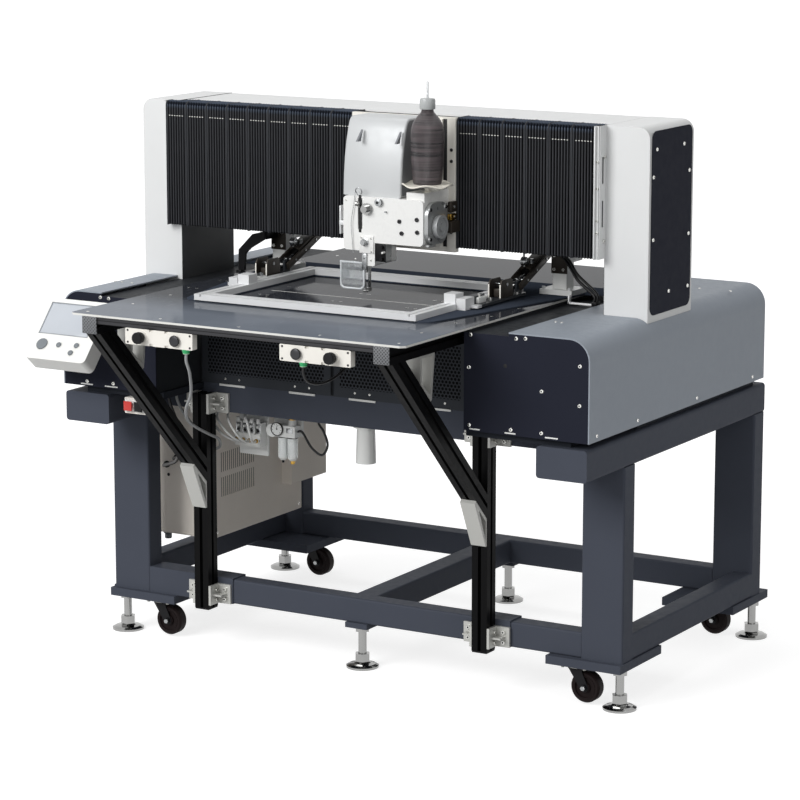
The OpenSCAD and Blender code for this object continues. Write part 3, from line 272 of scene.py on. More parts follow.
def table_metal(name):
    """Ground and polished steel plate with a faint grain across the machine and fine handling marks; its dark
    blue-grey colour is painted reflection, lighter towards the front.
    """
    n = Nodes(name)
    grain = n.noise(320, 4, n.scaled(0.04, 1, 1))
    cloud = n.noise(5, 4)
    marks = n.ramp(n.noise(240, 2, n.scaled(1, 0.06, 1)), 0.66, 0.74, 0.0, 1.0)
    n.bump(grain, 0.03, 0.0001)
    side = n.ramp(n.axis(2), *TABLE_FACE, 1.0, 0.0)
    # painted reflection: the plate's colour lightens towards the front, where it reflects more light
    bright = n.ramp(n.axis(1), -0.36, -0.18, 1.0, 0.0)
    base = n.mix(cloud, n.mix(bright, lin("25272c"), lin("646a74")), n.mix(bright, lin("30333a"), lin("787f89")))
    base = n.mix(n.math("MULTIPLY", marks, 0.2), base, lin("989ea6"))
    return n.set(color=n.mix(side, base, lin("d6d6d2")), rough=n.ramp(cloud, 0.3, 0.7, 0.05, 0.11),
                 spec=0.01)


M = {
    "slate": paint("slate_paint", "474b55", 0.48, spec=0.04, grain=0.35, grain_scale=700),
    "navy": paint("navy_paint", "252731", 0.5, spec=0.02, grain=0.15),
    "silver": paint("silver_paint", "8f969f", 0.42, metal=0.1, spec=0.1, grain=0.2, drift=0.02),
    "column": column_paint("column_silver"),
    "bed": paint("bed_paint", "2c2f35", 0.5, spec=0.02),
    "inner": paint("inner_cover_paint", "2c2e31", 0.42, spec=0.02, grain=0.2),
    "chrome": metal("foot_chrome", "9c9c9b", 0.12, grain=0.05),
    "steel": metal("ground_steel", "9fa1a2", 0.26),
    "zinc": paint("zinc_plate", "b9b9b5", 0.4, metal=0.35, spec=0.3, grain=0.15),
    "screw": metal("screw_zinc", "d2d2ce", 0.25, grain=0.05),
    "dark_screw": metal("screw_black", "3c3c3e", 0.35, grain=0.05),
    # near-black, used as painted shade in sockets, slots, holes, louvres and gaps
    "painted_recess_shade": plastic("recess_dark", "101012", 0.6),
    "strip": paint("strip_satin", "e8e5dd", 0.42, metal=0.0, spec=0.15, grain=0.1, drift=0.03),
    "wheel_grey": paint("handwheel_grey", "a4a6a7", 0.36, metal=0.1, spec=0.25, grain=0.1),
    "fittings": fittings_metal("fittings_two_tone"),
    "frame_alu": paint("clamp_aluminium", "dcddde", 0.36, metal=0.2, spec=0.3, grain=0.08, drift=0.02),
    "black_alu": paint("black_anodised", "0c0c0d", 0.4, metal=0.1, spec=0.06, grain=0.12),
    "brown_alu": paint("dark_bronze_anodised", "35302b", 0.4, metal=0.2, spec=0.2, grain=0.12),
    "perforated": perforated("perforated_sheet"),
    "hatched": hatched("hatched_cap"),
    "table": table_metal("table_plate"),
    "feed": paint("feed_plate_grey", "3f4550", 0.36, spec=0.0, grain=0.08),
    # bellows_cloth is the darker copy of the cloth, painted shade for the folds; the ridge copy below is its painted
    # highlight
    "pleats": pleats("bellows_cloth", "08080a", "1d2129"),
    "ridge_highlight": pleats("bellows_ridge", "37383b", "4a5362"),
    "divider": plastic("bellows_divider", "4a4c50", 0.45, spec=0.1),
    "stitch": plastic("white_stitch", "d8d8d2", 0.6),
    "white_box": paint("white_box_paint", "e2dfd8", 0.4, spec=0.3, grain=0.2),
    "cream": paint("cream_paint", "ece5dc", 0.5, spec=0.15, grain=0.45, grain_scale=500),
    "panel": plastic("panel_cream", "e4e4e1", 0.42, 0.35, 900),
    "screen": plastic("screen_grey", "b4b9c0", 0.12, 0.05, coat=0.6),
    "bezel": plastic("screen_edge", "8e9296", 0.35),
    "white": plastic("white_plastic", "e2e3e1", 0.35, coat=0.2),
    "tray": plastic("tray_white", "e6e2d6", 0.3, coat=0.4),
    "arm": paint("arm_white", "e4e4e2", 0.28, coat=0.5, grain=0.12, drift=0.015),
    "head": paint("head_grey", "b9bbbc", 0.38, metal=0.1, grain=0.2, drift=0.02),
    # darker copy of the head grey: painted shade for the cover's sides
    "head_shade_side": paint("cover_side_painted_shade", "76787c", 0.42),
    "motor": paint("motor_silver", "a2a4a4", 0.3, metal=0.5),
    "black": plastic("black_plastic", "121214", 0.42, spec=0.15),
    "cap_grey": plastic("cap_grey", "a9acac", 0.35, coat=0.2),
    "rubber": plastic("black_rubber", "1b1414", 0.55, 0.4, 700, spec=0.1),
    "thread": wound("wound_thread"),
    "clear": clear("clear_guard"),
    "guard_rim": plastic("guard_rim_clear", "c9cdd0", 0.15, 0.05, coat=0.6),
    "key": plastic("key_grey", "777c80", 0.4, spec=0.2),
    "red": plastic("red_switch", "c0281f", 0.3, coat=0.4),
    "green": plastic("green_gland", "1f9a5a", 0.35, coat=0.3),
    "cable": plastic("grey_cable", "8d8f90", 0.45),
    "black_cable": plastic("black_cable", "121214", 0.4),
    "tube": plastic("air_tube_white", "d5d6d4", 0.3, coat=0.4),
    "brass": metal("brass", "b08d45", 0.28, grain=0.1),
    "bowl": clear("filter_bowl"),
}

# ---------------------------------------------------------------- mesh making

UP, DOWN, RIGHT, FORWARD = (0, 0, 1), (0, 0, -1), (1, 0, 0), (0, -1, 0)

def arc(cu, cv, r, a0, a1, steps):
    """Points on an arc, from one angle to another in degrees."""
    return [(cu + r * math.cos(math.radians(a0 + (a1 - a0) * k / steps)),
             cv + r * math.sin(math.radians(a0 + (a1 - a0) * k / steps))) for k in range(steps + 1)]


def smooth_path(points, step):
    """A smooth line through the points, with some steps between each two."""
    p = [Vector(v) for v in points]
    line = []
    for i in range(len(p) - 1):
        a, b, c, e = p[max(i - 1, 0)], p[i], p[i + 1], p[min(i + 2, len(p) - 1)]
        for k in range(step):
            t = k / step
            line.append(0.5 * (2 * b + (c - a) * t + (2 * a - 5 * b + 4 * c - e) * t ** 2
                               + (3 * b - a - 3 * c + e) * t ** 3))
    return line + [p[-1]]


def verts_of(made):
    return [v for v in made if isinstance(v, bmesh.types.BMVert)]


def edges_of(made):
    return [e for e in made if isinstance(e, bmesh.types.BMEdge)]


def facing(at, axis):
    """Puts a shape's own Z axis along another, from a point."""
    return Matrix.Translation(at) @ Vector(axis).to_track_quat("Z", "Y").to_matrix().to_4x4()


def round_edges(bm, edges, r, segments=2):
    bmesh.ops.bevel(bm, geom=edges, offset=r, offset_type="OFFSET", segments=segments, profile=0.5,
                    affect="EDGES", material=-1)


HOLDER = bpy.data.meshes.new("holder")


class Piece:
    """Collects shapes given in millimetres in the machine's frame, each in the material in use."""

    def __init__(self, name, material):
        self.name, self.bm, self.mats = name, bmesh.new(), []
        self.use(material)

    def use(self, material):
        if material not in self.mats:
            self.mats.append(material)
        self.index = self.mats.index(material)
        return self

    def add(self, bm, place=None, outward=True):
        """Takes in a finished shape, moved to its place."""
        if place is not None:
            bmesh.ops.transform(bm, matrix=place, verts=bm.verts)
        if outward:
            bmesh.ops.recalc_face_normals(bm, faces=bm.faces)
        for f in bm.faces:
            f.material_index = self.index
        bm.to_mesh(HOLDER)
        bm.free()
        self.bm.from_mesh(HOLDER)
        return self

    def box(self, x0, x1, y0, y1, z0, z1, bevel=0.0, turn=None):
        """A block between two corners, turned about its middle, with rounded edges."""
        bm = bmesh.new()
        bmesh.ops.create_cube(bm, size=1, matrix=Matrix.Diagonal((x1 - x0, y1 - y0, z1 - z0, 1)))
        if bevel:
            round_edges(bm, bm.edges[:], bevel)
        place = Matrix.Translation(((x0 + x1) / 2, (y0 + y1) / 2, (z0 + z1) / 2))
        return self.add(bm, place @ turn.to_4x4() if turn else place)

    def lathe(self, at, axis, profile, seg=32):
        """Spins (radius, height) points about an axis through a point."""
        bm = bmesh.new()
        line = [bm.verts.new((r, 0, h)) for r, h in profile]
        edges = [bm.edges.new(pair) for pair in zip(line, line[1:])]
        bmesh.ops.spin(bm, geom=line + edges, cent=(0, 0, 0), axis=UP, angle=2 * math.pi, steps=seg,
                       use_merge=True)
        bmesh.ops.remove_doubles(bm, verts=bm.verts, dist=0.001)
        return self.add(bm, facing(at, axis))

    def disc(self, at, axis, r, seg=32):
        """A flat round face that looks along the axis."""
        bm = bmesh.new()
        bmesh.ops.create_circle(bm, cap_ends=True, radius=r, segments=seg)
        bm.normal_update()
        if bm.faces[:][0].normal.z < 0:
            bmesh.ops.reverse_faces(bm, faces=bm.faces[:])
        return self.add(bm, facing(at, axis), outward=False)

    def rod(self, p, q, d, seg=24, chamfer=0.4):
        axis = Vector(q) - Vector(p)
        h, r, c = axis.length, d / 2, min(chamfer, d / 4)
        return self.lathe(p, axis, [(0, 0), (r - c, 0), (r, c), (r, h - c), (r - c, h), (0, h)], seg)

    def socket(self, at, axis, h, r):
        """The floor of a screw head's socket: a dark hexagonal disc, painted shade."""
        used = self.index
        self.use(M["painted_recess_shade"])
        self.disc(Vector(at) + Vector(axis).normalized() * h, axis, r, 6)
        self.index = used
        return self

    def screw(self, at, axis, d=8.0, h=2.6):
        """Button-head screw with its socket."""
        r = d / 2
        self.lathe(at, axis, [(r * 0.4, h - 1.2), (r * 0.44, h), (r * 0.78, h - 0.15), (r, h * 0.45), (r, 0)], 20)
        return self.socket(at, axis, h - 1.2, r * 0.42)

    def cap_screw(self, at, axis, d=9.0, h=6.0):
        """Tall round screw head with its socket."""
        r = d / 2
        self.lathe(at, axis, [(r * 0.5, h - 2), (r * 0.52, h), (r * 0.88, h), (r, h - 0.5), (r, 0)], 20)
        return self.socket(at, axis, h - 2, r * 0.5)

    def hex_bolt(self, at, axis, d=15.0, h=7.0, washer=True):
        """Hexagonal head, with a washer under it if wanted."""
        if washer:
            self.lathe(at, axis, [(0, 1.6), (d * 0.62, 1.6), (d * 0.66, 1.2), (d * 0.66, 0)], 28)
        return self.lathe(at, axis, [(0, h), (d * 0.42, h), (d * 0.5, h - 1), (d * 0.5, 0)], 6)

    def tube(self, points, d, seg=12, step=6):
        """A round section swept along a smooth line through the points."""
        path = smooth_path(points, step)
        way = (path[1] - path[0]).normalized()
        bm = bmesh.new()
        ring = bmesh.ops.create_circle(bm, cap_ends=True, radius=d / 2, segments=seg,
                                       matrix=facing(path[0], way))["verts"]
        edges = list({e for v in ring for e in v.link_edges})
        for i in range(1, len(path)):
            ahead = (path[min(i + 1, len(path) - 1)] - path[i - 1]).normalized()
            made = bmesh.ops.extrude_edge_only(bm, edges=edges)["geom"]
            ring = verts_of(made)
            edges = [e for e in edges_of(made) if all(v in ring for v in e.verts)]
            bmesh.ops.rotate(bm, cent=path[i - 1], matrix=way.rotation_difference(ahead).to_matrix(), verts=ring)
            bmesh.ops.translate(bm, vec=path[i] - path[i - 1], verts=ring)
            way = ahead
        bmesh.ops.holes_fill(bm, edges=edges, sides=seg)
        return self.add(bm)

    def plate(self, outline, plane, lo, hi, rim=0.0, ends=None):
        """An outline in a plane ('xy', 'xz' or 'yz') from lo to hi along the third axis. Its two faces may have
        rounded edges and a material of their own."""
        def place(u, v, w):
            return Vector({"xy": (u, v, w), "xz": (u, w, v), "yz": (w, u, v)}[plane])
        bm = bmesh.new()
        face = bm.faces.new([bm.verts.new(place(u, v, lo)) for u, v in outline])
        made = bmesh.ops.extrude_face_region(bm, geom=[face])["geom"]
        bmesh.ops.translate(bm, vec=place(0, 0, hi - lo), verts=verts_of(made))
        axis = place(0, 0, 1)
        if rim:
            round_edges(bm, [e for e in bm.edges if abs((e.verts[0].co - e.verts[1].co).dot(axis)) < 0.001], rim, 3)
        self.add(bm)
        if ends:
            used = self.index
            self.use(ends)
            for f in self.bm.faces:
                f.normal_update()
                w = f.calc_center_median().dot(axis)
                if abs(f.normal.dot(axis)) > 0.999 and lo - 0.1 < w < hi + 0.1:
                    f.material_index = self.index
            self.index = used
        return self

    def done(self, body, transform=None):
        """Makes the object, in metres, and sets it to ride on a body."""
        if transform is not None:
            bmesh.ops.transform(self.bm, matrix=transform, verts=self.bm.verts)
        bmesh.ops.scale(self.bm, vec=(MM, MM, MM), verts=self.bm.verts)
        mesh = bpy.data.meshes.new(self.name)
        self.bm.to_mesh(mesh)
        self.bm.free()
        for m in self.mats:
            mesh.materials.append(m)
        mesh.shade_smooth()
        mesh.set_sharp_from_angle(angle=math.radians(35))
        obj = bpy.data.objects.new(self.name, mesh)
        bpy.context.scene.collection.objects.link(obj)
        if body:
            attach(obj, body)
        return obj


def dress(node, material):
    """Gives a piece of the CAD model its finish."""
    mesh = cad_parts[node].data
    mesh.materials.clear()
    mesh.materials.append(material)


NODE_MATERIALS = {
    "slate": ["side_frames", "lower_beams", "hook_pan"],
    "chrome": ["levelling_feet", "needle_bar", "take_up_lever", "presser_foot", "rotary_hook", "lift_rods",
               "tension_knob"],
    "bed": ["machine_bed"],
    "steel": ["guide_rails"],
    "zinc": ["brackets"],
    "table": ["table_top"],
    "silver": ["side_covers"],
    "navy": ["navy_panels"],
    "inner": ["inner_covers"],
    "column": ["gantry_covers"],
    "perforated": ["perforated_panels"],
    "black_alu": ["table_profiles", "lift_cylinders"],
    "white_box": ["switch_boxes"],
    "cream": ["control_box"],
    "white": ["waste_tube", "air_unit", "lift_posts"],
    "rubber": ["caster_wheel_fl", "caster_wheel_fr", "caster_wheel_rl", "caster_wheel_rr"],
    "black": ["caster_fork_fl", "caster_fork_fr", "caster_fork_rl", "caster_fork_rr", "left_stop_button",
              "left_start_button", "right_start_button", "right_stop_button", "power_on_button"],
    "red": ["power_off_button"],
    "strip": ["head_carriage", "hook_carriage"],
    "wheel_grey": ["handwheel"],
    "head": ["head_cover"],
    "arm": ["sewing_arm"],
    "motor": ["head_motor"],
    "clear": ["eye_guard"],
    "tray": ["spool_stand"],
    "thread": ["thread_spool"],
    "feed": ["feed_plate"],
    "frame_alu": ["clamp_frame"],
    "fittings": ["clamp_fittings"],
    "panel": ["operation_panel"],
    "key": ["panel_start_button", "panel_key_left", "panel_key_right", "panel_key_lower"],
    "pleats": ["bellows_left", "bellows_right"],
}
for key, nodes in NODE_MATERIALS.items():
    for node in nodes:
        dress(node, M[key])

# ---------------------------------------------------------------- bellows


BRACKET_X, BRACKET_Y = 564, 103     # past this X the bellows stop at the column bracket's plate


def bellows(name, node, x_fixed, x_head, count, group):
    """Pleated cloth channel with flat ridges, round top corners and stiff divider plates, from a bracket to
    the head. Its front ridges and top take a lighter copy of the cloth as painted highlight; the folds keep the
    darker copy as painted shade."""
    top, low, face, back = 1310.0, 1010.0, 73.0, 131.0
    p = Piece(name, M["pleats"]).use(M["ridge_highlight"])
    ridge_highlight = p.index
    p.use(M["pleats"])
    pitch = (x_head - x_fixed) / count

    def section(d):
        """The channel's outline, d under its outermost skin."""
        return ([(back, top - d)] + arc(face + d + 12, top - d - 12, 12, 90, 180, 4)
                + [(face + d, low + d + 3), (face + d + 3, low + d), (back, low + d)])
    bm = bmesh.new()
    line = [bm.verts.new((x_fixed, u, v)) for u, v in section(9)]
    edges = [bm.edges.new(pair) for pair in zip(line, line[1:])]
    for t, d in ((0.2, 3.0), (0.3, 0.4), (0.36, 0.0), (0.6, 0.0), (0.66, 0.4), (0.78, 3.0), (1.0, 9.0)):
        made = bmesh.ops.extrude_edge_only(bm, edges=edges)["geom"]
        new = verts_of(made)
        edges = [e for e in edges_of(made) if all(v in new for v in e.verts)]
        line = [next(v for e in old.link_edges for v in e.verts if v is not old and v in new) for old in line]
        for v, (y, z) in zip(line, section(d)):
            v.co = (x_fixed + pitch * t, y, z)
    bmesh.ops.spin(bm, geom=bm.verts[:] + bm.edges[:] + bm.faces[:], cent=(0, 0, 0), axis=RIGHT,
                   dvec=(pitch, 0, 0), angle=0, steps=count - 1, use_duplicate=True)
    bmesh.ops.remove_doubles(bm, verts=bm.verts, dist=0.01)
    for v in bm.verts:
        if abs(v.co.x) > BRACKET_X and v.co.y > BRACKET_Y:
            v.co.y = BRACKET_Y
    p.add(bm)
    # faces on the front ridges and the top take the lighter cloth: painted highlight
    for f in p.bm.faces:
        y, z = min(v.co.y for v in f.verts), max(v.co.z for v in f.verts)
        if y < face + 0.5 or z > top - 0.5:
            f.material_index = ridge_highlight
    for i in range(count + 1):
        x = x_fixed + pitch * i
        x = min(max(x, min(x_fixed, x_head) + 0.6), max(x_fixed, x_head) - 0.6)
        if i % group == 0:
            deep = BRACKET_Y if abs(x) > BRACKET_X else back
            p.use(M["divider"])
            p.plate([(face - 1.2, low - 1), (deep, low - 1), (deep, top + 1)]
                    + arc(face + 10.8, top - 11, 12, 90, 180, 4), "yz", x - 0.6, x + 0.6, 0.3)
        p.use(M["stitch"])
        if i < count and i % group not in (0, group - 1):
            mid = x_fixed + pitch * (i + 0.48)
            p.box(mid - 1.5, mid + 1.5, face - 0.5, face + 1, 1274.4, 1276.2)
    obj = p.done(None)
    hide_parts(node)
    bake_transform(obj)


bellows("bellows_cloth_left", "bellows_left", -597.0, -69.3, 72, 8)
bellows("bellows_cloth_right", "bellows_right", 566.0, 210.3, 48, 8)

# ---------------------------------------------------------------- stand, bed and table details

FRONT = -212.0              # front face of the side housings
POSTS = (-414.0, 354.0)     # middles of the two table posts
GRID_FACE = -27             # front face of the perforated panels
HOUSING_TOP = 881
TABLE_TOP = 884.9
AXLE_Z = 41.5
CASTER_TRAIL = 25
CASTERS = (("fl", -575, 0), ("fr", 575, 0), ("rl", -575, 688), ("rr", 575, 688))


def stand_details():
    """Bolts over the casters, weld beads on the legs, and each caster's axle nuts and tyre rims."""
    p = Piece("stand_bolts", M["zinc"])
    for x in (-575, 575):
        for y in (0, 688):
            for sx in (-28, 28):
                for sy in (-22, 22):
                    p.hex_bolt((x + sx, y + sy, 89), DOWN, 9, 5, False)
    p.use(M["slate"])
    for s in (-1, 1):
        for y in (-27, 673):
            p.box(s * 595 - 2.5, s * 595 + 2.5, y + 2, y + 53, 559, 564.5, 1.5)
            p.box(s * 700 - 4, s * 700 - 0.5 if s > 0 else s * 700 + 4, y + 2, y + 53, 112, 116, 1)
    p.done("frame")
    for tag, x, y in CASTERS:
        x += CASTER_TRAIL
        q = Piece("caster_axle_nuts_" + tag, M["steel"])
        for s in (-1, 1):
            q.hex_bolt((x, y + s * 22.5, AXLE_Z), (0, s, 0), 12, 5, False)
        q.done("fork_" + tag)
        q = Piece("caster_tread_" + tag, M["rubber"])
        for s in (-1, 1):
            at = (x, y + s * 15.2, AXLE_Z)
            q.lathe(at, (0, s, 0), [(24.5, -0.6), (24.5, 0.8), (26.5, 0.8), (26.5, -0.6)], 40)
            q.lathe(at, (0, s, 0), [(6, -0.2), (6, 1.4), (11, 1.4), (12, 0.4), (12, -0.4)], 32)
        q.done("wheel_" + tag)


def panel_screws():
    """White-headed screws of the side housings, and the slots of the panels under them."""
    p = Piece("housing_screws", M["screw"])
    for x, z in ((524, 869), (547, 871), (406, 795), (681, 822), (588, 758), (681, 735), (407, 665), (512, 665),
                 (588, 665), (410, 868), (-636, 664), (-560, 665), (-593, 869), (-569, 868), (-680, 735),
                 (-450, 795), (-450, 668)):
        p.screw((x, FRONT, z), FORWARD, 9, 2.6)
    for y in (-177, 23, 330, 640):
        for s in (-1, 1):
            p.screw((s * 705, y, 665), (s, 0, 0), 8, 2.4)
    for x in (530, 545):
        p.screw((x, -40, HOUSING_TOP), UP, 7, 2)
    for s in (-1, 1):
        for x in (520, 600, 680):
            p.screw((s * x, 560, HOUSING_TOP), UP, 7, 2)
    for x in (-660, -640, -610):
        p.screw((x, -60, HOUSING_TOP), UP, 7, 2)
    # painted shade: a dark disc standing for a hole in the housing
    p.use(M["painted_recess_shade"])
    p.lathe((497, FRONT, 806), FORWARD, [(0, 0.3), (4, 0.3), (4.6, 0)], 20)
    p.use(M["white"])
    for a, b in ((408, 434), (497, 524), (597, 629), (-655, -620), (-585, -548)):
        p.box(a, b, FRONT - 1.2, FRONT + 1, 655.2, 658.4, 0.5)
    p.done("frame")
    p = Piece("column_screws", M["screw"])
    for y, z in ((136, 1259), (275, 1259), (305, 1196), (120, 1198), (305, 1051), (122, 1057), (305, 930),
                 (206, 931)):
        for s in (-1, 1):
            p.screw((s * 687.5, y, z), (s, 0, 0), 9, 2.6)
    for z in (1090, 1118, 1190, 1250):
        p.cap_screw((572, 73, z - 20), FORWARD, 7, 3)
    for z in (1050, 1240):
        p.cap_screw((578, 94, z), RIGHT, 8, 4)
    p.use(M["column"])
    p.box(566, 569, 66, 73, 1010, 1310, 0.4)
    p.done("frame")
    p = Piece("hinge_strips", M["white"])
    hinges = (-345, -148, 18, 220)
    for x in hinges:
        p.box(x - 36, x + 36, GRID_FACE - 3, GRID_FACE, 648, 653, 0.6)
    p.use(M["screw"])
    for x in hinges:
        for s in (-1, 1):
            p.screw((x + s * 20, GRID_FACE, 666), FORWARD, 6, 2)
    for x in (-425, -74, -56, 292, 310, 380):
        p.screw((x, GRID_FACE, 826), FORWARD, 6, 2)
    p.done("frame")


def table_details():
    """Flush screws of the table top, caps of its rails and posts, and the bolts of the posts' brackets."""
    p = Piece("table_screws", M["screw"])

    def flush(x, y, r):
        p.lathe((x, y, TABLE_TOP), UP, [(0, 0.35), (r, 0.35), (r + 0.4, 0.1), (r + 0.4, 0)], 20)
    for y in (-63, 63):
        for x in (-430, -230, -30, 170, 370):
            for d in (-11, 11):
                flush(x + d, y, 4)
    for x in (-440, -240, -30, 180, 380):
        flush(x, -470, 3.6)
    for s in (-1, 1):
        for y in (-330, -180, 180, 360, 560):
            flush(-30 + s * 384, y, 3.6)
    p.done("frame")
    p = Piece("rail_end_caps", M["hatched"])
    for x in POSTS:
        p.box(x - 19.8, x + 19.8, -501.5, -498, 840.3, 879.7, 1.2)
    p.use(M["black"])
    for x in POSTS:
        p.box(x - 19.6, x + 19.6, -66.6, -27.4, 99.5, 103, 1)
    p.done("frame")
    p = Piece("front_rail_face", M["dark_screw"])
    p.box(-393, 333, -499.2, -498, 864.5, 879, 0.4)
    p.use(M["black"])
    p.box(-393, 333, -499.6, -499, 871.5, 873.2)
    p.done("frame")
    p = Piece("post_bracket_bolts", M["screw"])
    for x in POSTS:
        for z0 in (112, 583):
            for s in (-1, 1):
                for z in (z0 + 12, z0 + 36):
                    p.cap_screw((x + s * 26, -47, z), (s, 0, 0), 9, 6)
                    p.cap_screw((x + s * 46, -33, z), FORWARD, 9, 6)
        for y, z in ((-78, 405), (-78, 450)):
            p.cap_screw((x, y, z), (0, -0.94, 0.34), 9, 5)
    p.done("frame")


def perforated_edges():
    """Folded edges round each perforated panel."""
    p = Piece("grid_frames", M["inner"])
    for a, b in ((-434, -65), (-65, 301), (301, 393)):
        for x in (a + 1, b - 3):
            p.box(x, x + 2, GRID_FACE - 3, GRID_FACE, 655, 836, 0.5)
        p.box(a + 1, b - 1, GRID_FACE - 3, GRID_FACE, 833, 836, 0.5)
    p.done("frame")


stand_details()
panel_screws()
table_details()
perforated_edges()

# ---------------------------------------------------------------- switches, panel and boxes


BUTTON_Z = 844.5
PANEL_KEYS = (("panel_start_button", 36, 40, 29), ("panel_key_left", 84, 42, 13), ("panel_key_right", 134, 45, 13),
              ("panel_key_lower", 126, 24, 13))      # body, place on the panel's face, diameter
VALVES = [-371 + 19 * k for k in range(4)]
BOWLS = (-251, -224)


def switch_details():
    """Trim, knobs and caps of the start switch boxes and the power box."""
    for tag, x, stop, gland in (("left", -226, -1, -158), ("right", 185, 1, 150)):
        p = Piece("switch_box_trim_" + tag, M["dark_screw"])
        for s in (-1, 1):
            p.screw((x + s * 84, -498, 858), FORWARD, 5, 1.6)
            p.screw((x + s * 84, -498, 831), FORWARD, 5, 1.6)
        p.use(M["green"])
        p.lathe((gland, -489, 826), DOWN, [(0, 0), (9.5, 0), (9.5, 4), (8, 5), (8, 9), (5, 11), (3, 11)], 24)
        p.done("frame")
        q = Piece("stop_knob_" + tag, M["black"])
        at = (x + stop * 46, -518.5, BUTTON_Z)
        q.lathe(at, FORWARD, [(0, 1.2), (7, 1.6), (12, 1.0), (13, -1), (13, -9), (11.5, -12), (11.5, -14)], 40)
        for k in range(12):
            a = 2 * math.pi * k / 12
            rib_x, rib_z = at[0] + 12.6 * math.cos(a), at[2] + 12.6 * math.sin(a)
            q.rod((rib_x, at[1] + 1, rib_z), (rib_x, at[1] + 9, rib_z), 2.2, 8)
        q.done(tag + "_stop_button")
        q = Piece("start_cap_" + tag, M["dark_screw"])
        q.lathe((x - stop * 46, -505.5, BUTTON_Z), FORWARD, [(0, 0.5), (10.3, 0.5), (11.3, 0), (11.3, -1)], 40)
        q.done(tag + "_start_button")
    p = Piece("power_box_trim", M["screw"])
    for x in (-524, -472):
        p.screw((x, FRONT, 630), FORWARD, 5, 1.6)
    p.use(M["white"])
    for x0, x1 in ((-527, -498.6), (-497.4, -469)):
        p.plate([(x0, 603), (x1, 603), (x1, 631), (x0, 631)], "xz", FRONT - 1.6, FRONT, 0.6)
    p.done("frame")
    for body, x, key in (("power_off_button", -513, "red"), ("power_on_button", -483, "black")):
        q = Piece(body + "_rocker", M[key])
        q.plate([(x - 11.4, 605.6), (x + 11.4, 605.6), (x + 11.4, 628.4), (x - 11.4, 628.4)],
                "xz", -223, -219.7, 1.2)
        q.done(body)


def operation_panel():
    """Screen, its edge, the key rims and the key caps, laid out flat and then leant back with the panel."""
    turn = Matrix.Translation((-725, -342, 734)) @ Matrix.Rotation(math.radians(49), 4, "X")
    p = Piece("panel_screen", M["screen"])
    p.box(13, 152, 71, 155, -1.9, -0.6, 0.3)
    p.use(M["bezel"])
    for x0, x1, y0, y1 in ((11, 13.5, 69, 157), (151, 153.5, 69, 157), (11, 153.5, 69, 71.5),
                           (11, 153.5, 154.5, 157)):
        p.box(x0, x1, y0, y1, -0.2, 0.5, 0.15)
    p.use(M["panel"])
    for body, x, y, d in PANEL_KEYS:
        r = d / 2
        p.lathe((x, y, -0.1), UP, [(r + 0.6, 0), (r + 0.8, 1.2), (r + 2.2, 1.2), (r + 3, 0)], 40)
    p.done("panel", transform=turn)
    for body, x, y, d in PANEL_KEYS:
        q = Piece(body + "_cap", M["key"])
        r = d / 2 - 0.6
        q.lathe((x, y, 2.9), UP, [(0, 0.9), (r * 0.6, 0.8), (r, 0)], 40)
        q.done(body, transform=turn)


def air_details():
    """Pressure gauge, valves with their outlets and small plates, and the filter's two bowls."""
    x, y, z = -257, 31, 544
    p = Piece("air_gauge", M["black"])
    p.lathe((x, y, z), FORWARD, [(13, -4), (15, -3), (16.5, 0), (16.5, 3), (15.4, 3.6), (14.6, 2)], 40)
    p.use(M["white"])
    p.disc((x, y - 1.6, z), FORWARD, 15, 40)
    p.use(M["black"])
    p.box(x - 0.6, x + 0.6, y - 2, y - 1.7, z, z + 10, 0, Matrix.Rotation(math.radians(20), 3, "Y"))
    p.lathe((x, y - 1.6, z), FORWARD, [(0, 1), (1.6, 1), (1.8, 0)], 16)
    for k in range(9):
        a = math.radians(-135 + k * 33.75)
        c = (x + 12 * math.sin(a), z + 12 * math.cos(a))
        p.box(c[0] - 0.5, c[0] + 0.5, y - 1.9, y - 1.65, c[1] - 1.2, c[1] + 1.2, 0, Matrix.Rotation(a, 3, "Y"))
    p.use(M["brass"])
    p.lathe((-224, 48, 567), UP, [(10, 0), (11, 2), (11, 12), (9, 15), (0, 15)], 16)
    p.lathe((-224, 48, 467), DOWN, [(0, 8), (5, 8), (6, 4), (6, 0)], 16)
    for x in VALVES:
        p.lathe((x, 27, 509), FORWARD, [(3.2, 4), (4.8, 4), (5.4, 0)], 20)
    for x in VALVES:
        p.use(M["steel"])
        p.box(x - 7, x + 7, 35.2, 36, 525, 549, 0.3)
        p.use(M["white"])
        p.lathe((x, 36, 556), UP, [(0, 6), (4.5, 6), (5, 5), (5, -6)], 20)
        p.lathe((x, 35, 542), FORWARD, [(0, 4), (3, 4), (3.4, 0)], 16)
        p.use(M["black"])
        p.box(x - 4, x + 4, 34.6, 35.4, 529, 535, 0.2)
    for x in (-381, -307):
        p.use(M["steel"])
        p.hex_bolt((x + (4 if x < -350 else -4), 34, 509), FORWARD, 7, 3, False)
    p.use(M["bowl"])
    for x in BOWLS:
        p.lathe((x, 48, 476), UP, [(0, -9), (4, -9), (7.5, -6.4), (12.4, 0), (12.4, 44)], 32)
    p.use(M["black"])
    for x in BOWLS:
        p.lathe((x, 48, 522), UP, [(12.6, 0), (14, 1), (14, 8), (12.6, 9)], 32)
        p.lathe((x, 48, 462), UP, [(0, -2), (3, -2), (3, 6)], 16)
    p.use(M["steel"])
    for x in BOWLS:
        p.box(x - 9, x + 9, 33, 34, 536, 548, 0.3)
    p.done("frame")


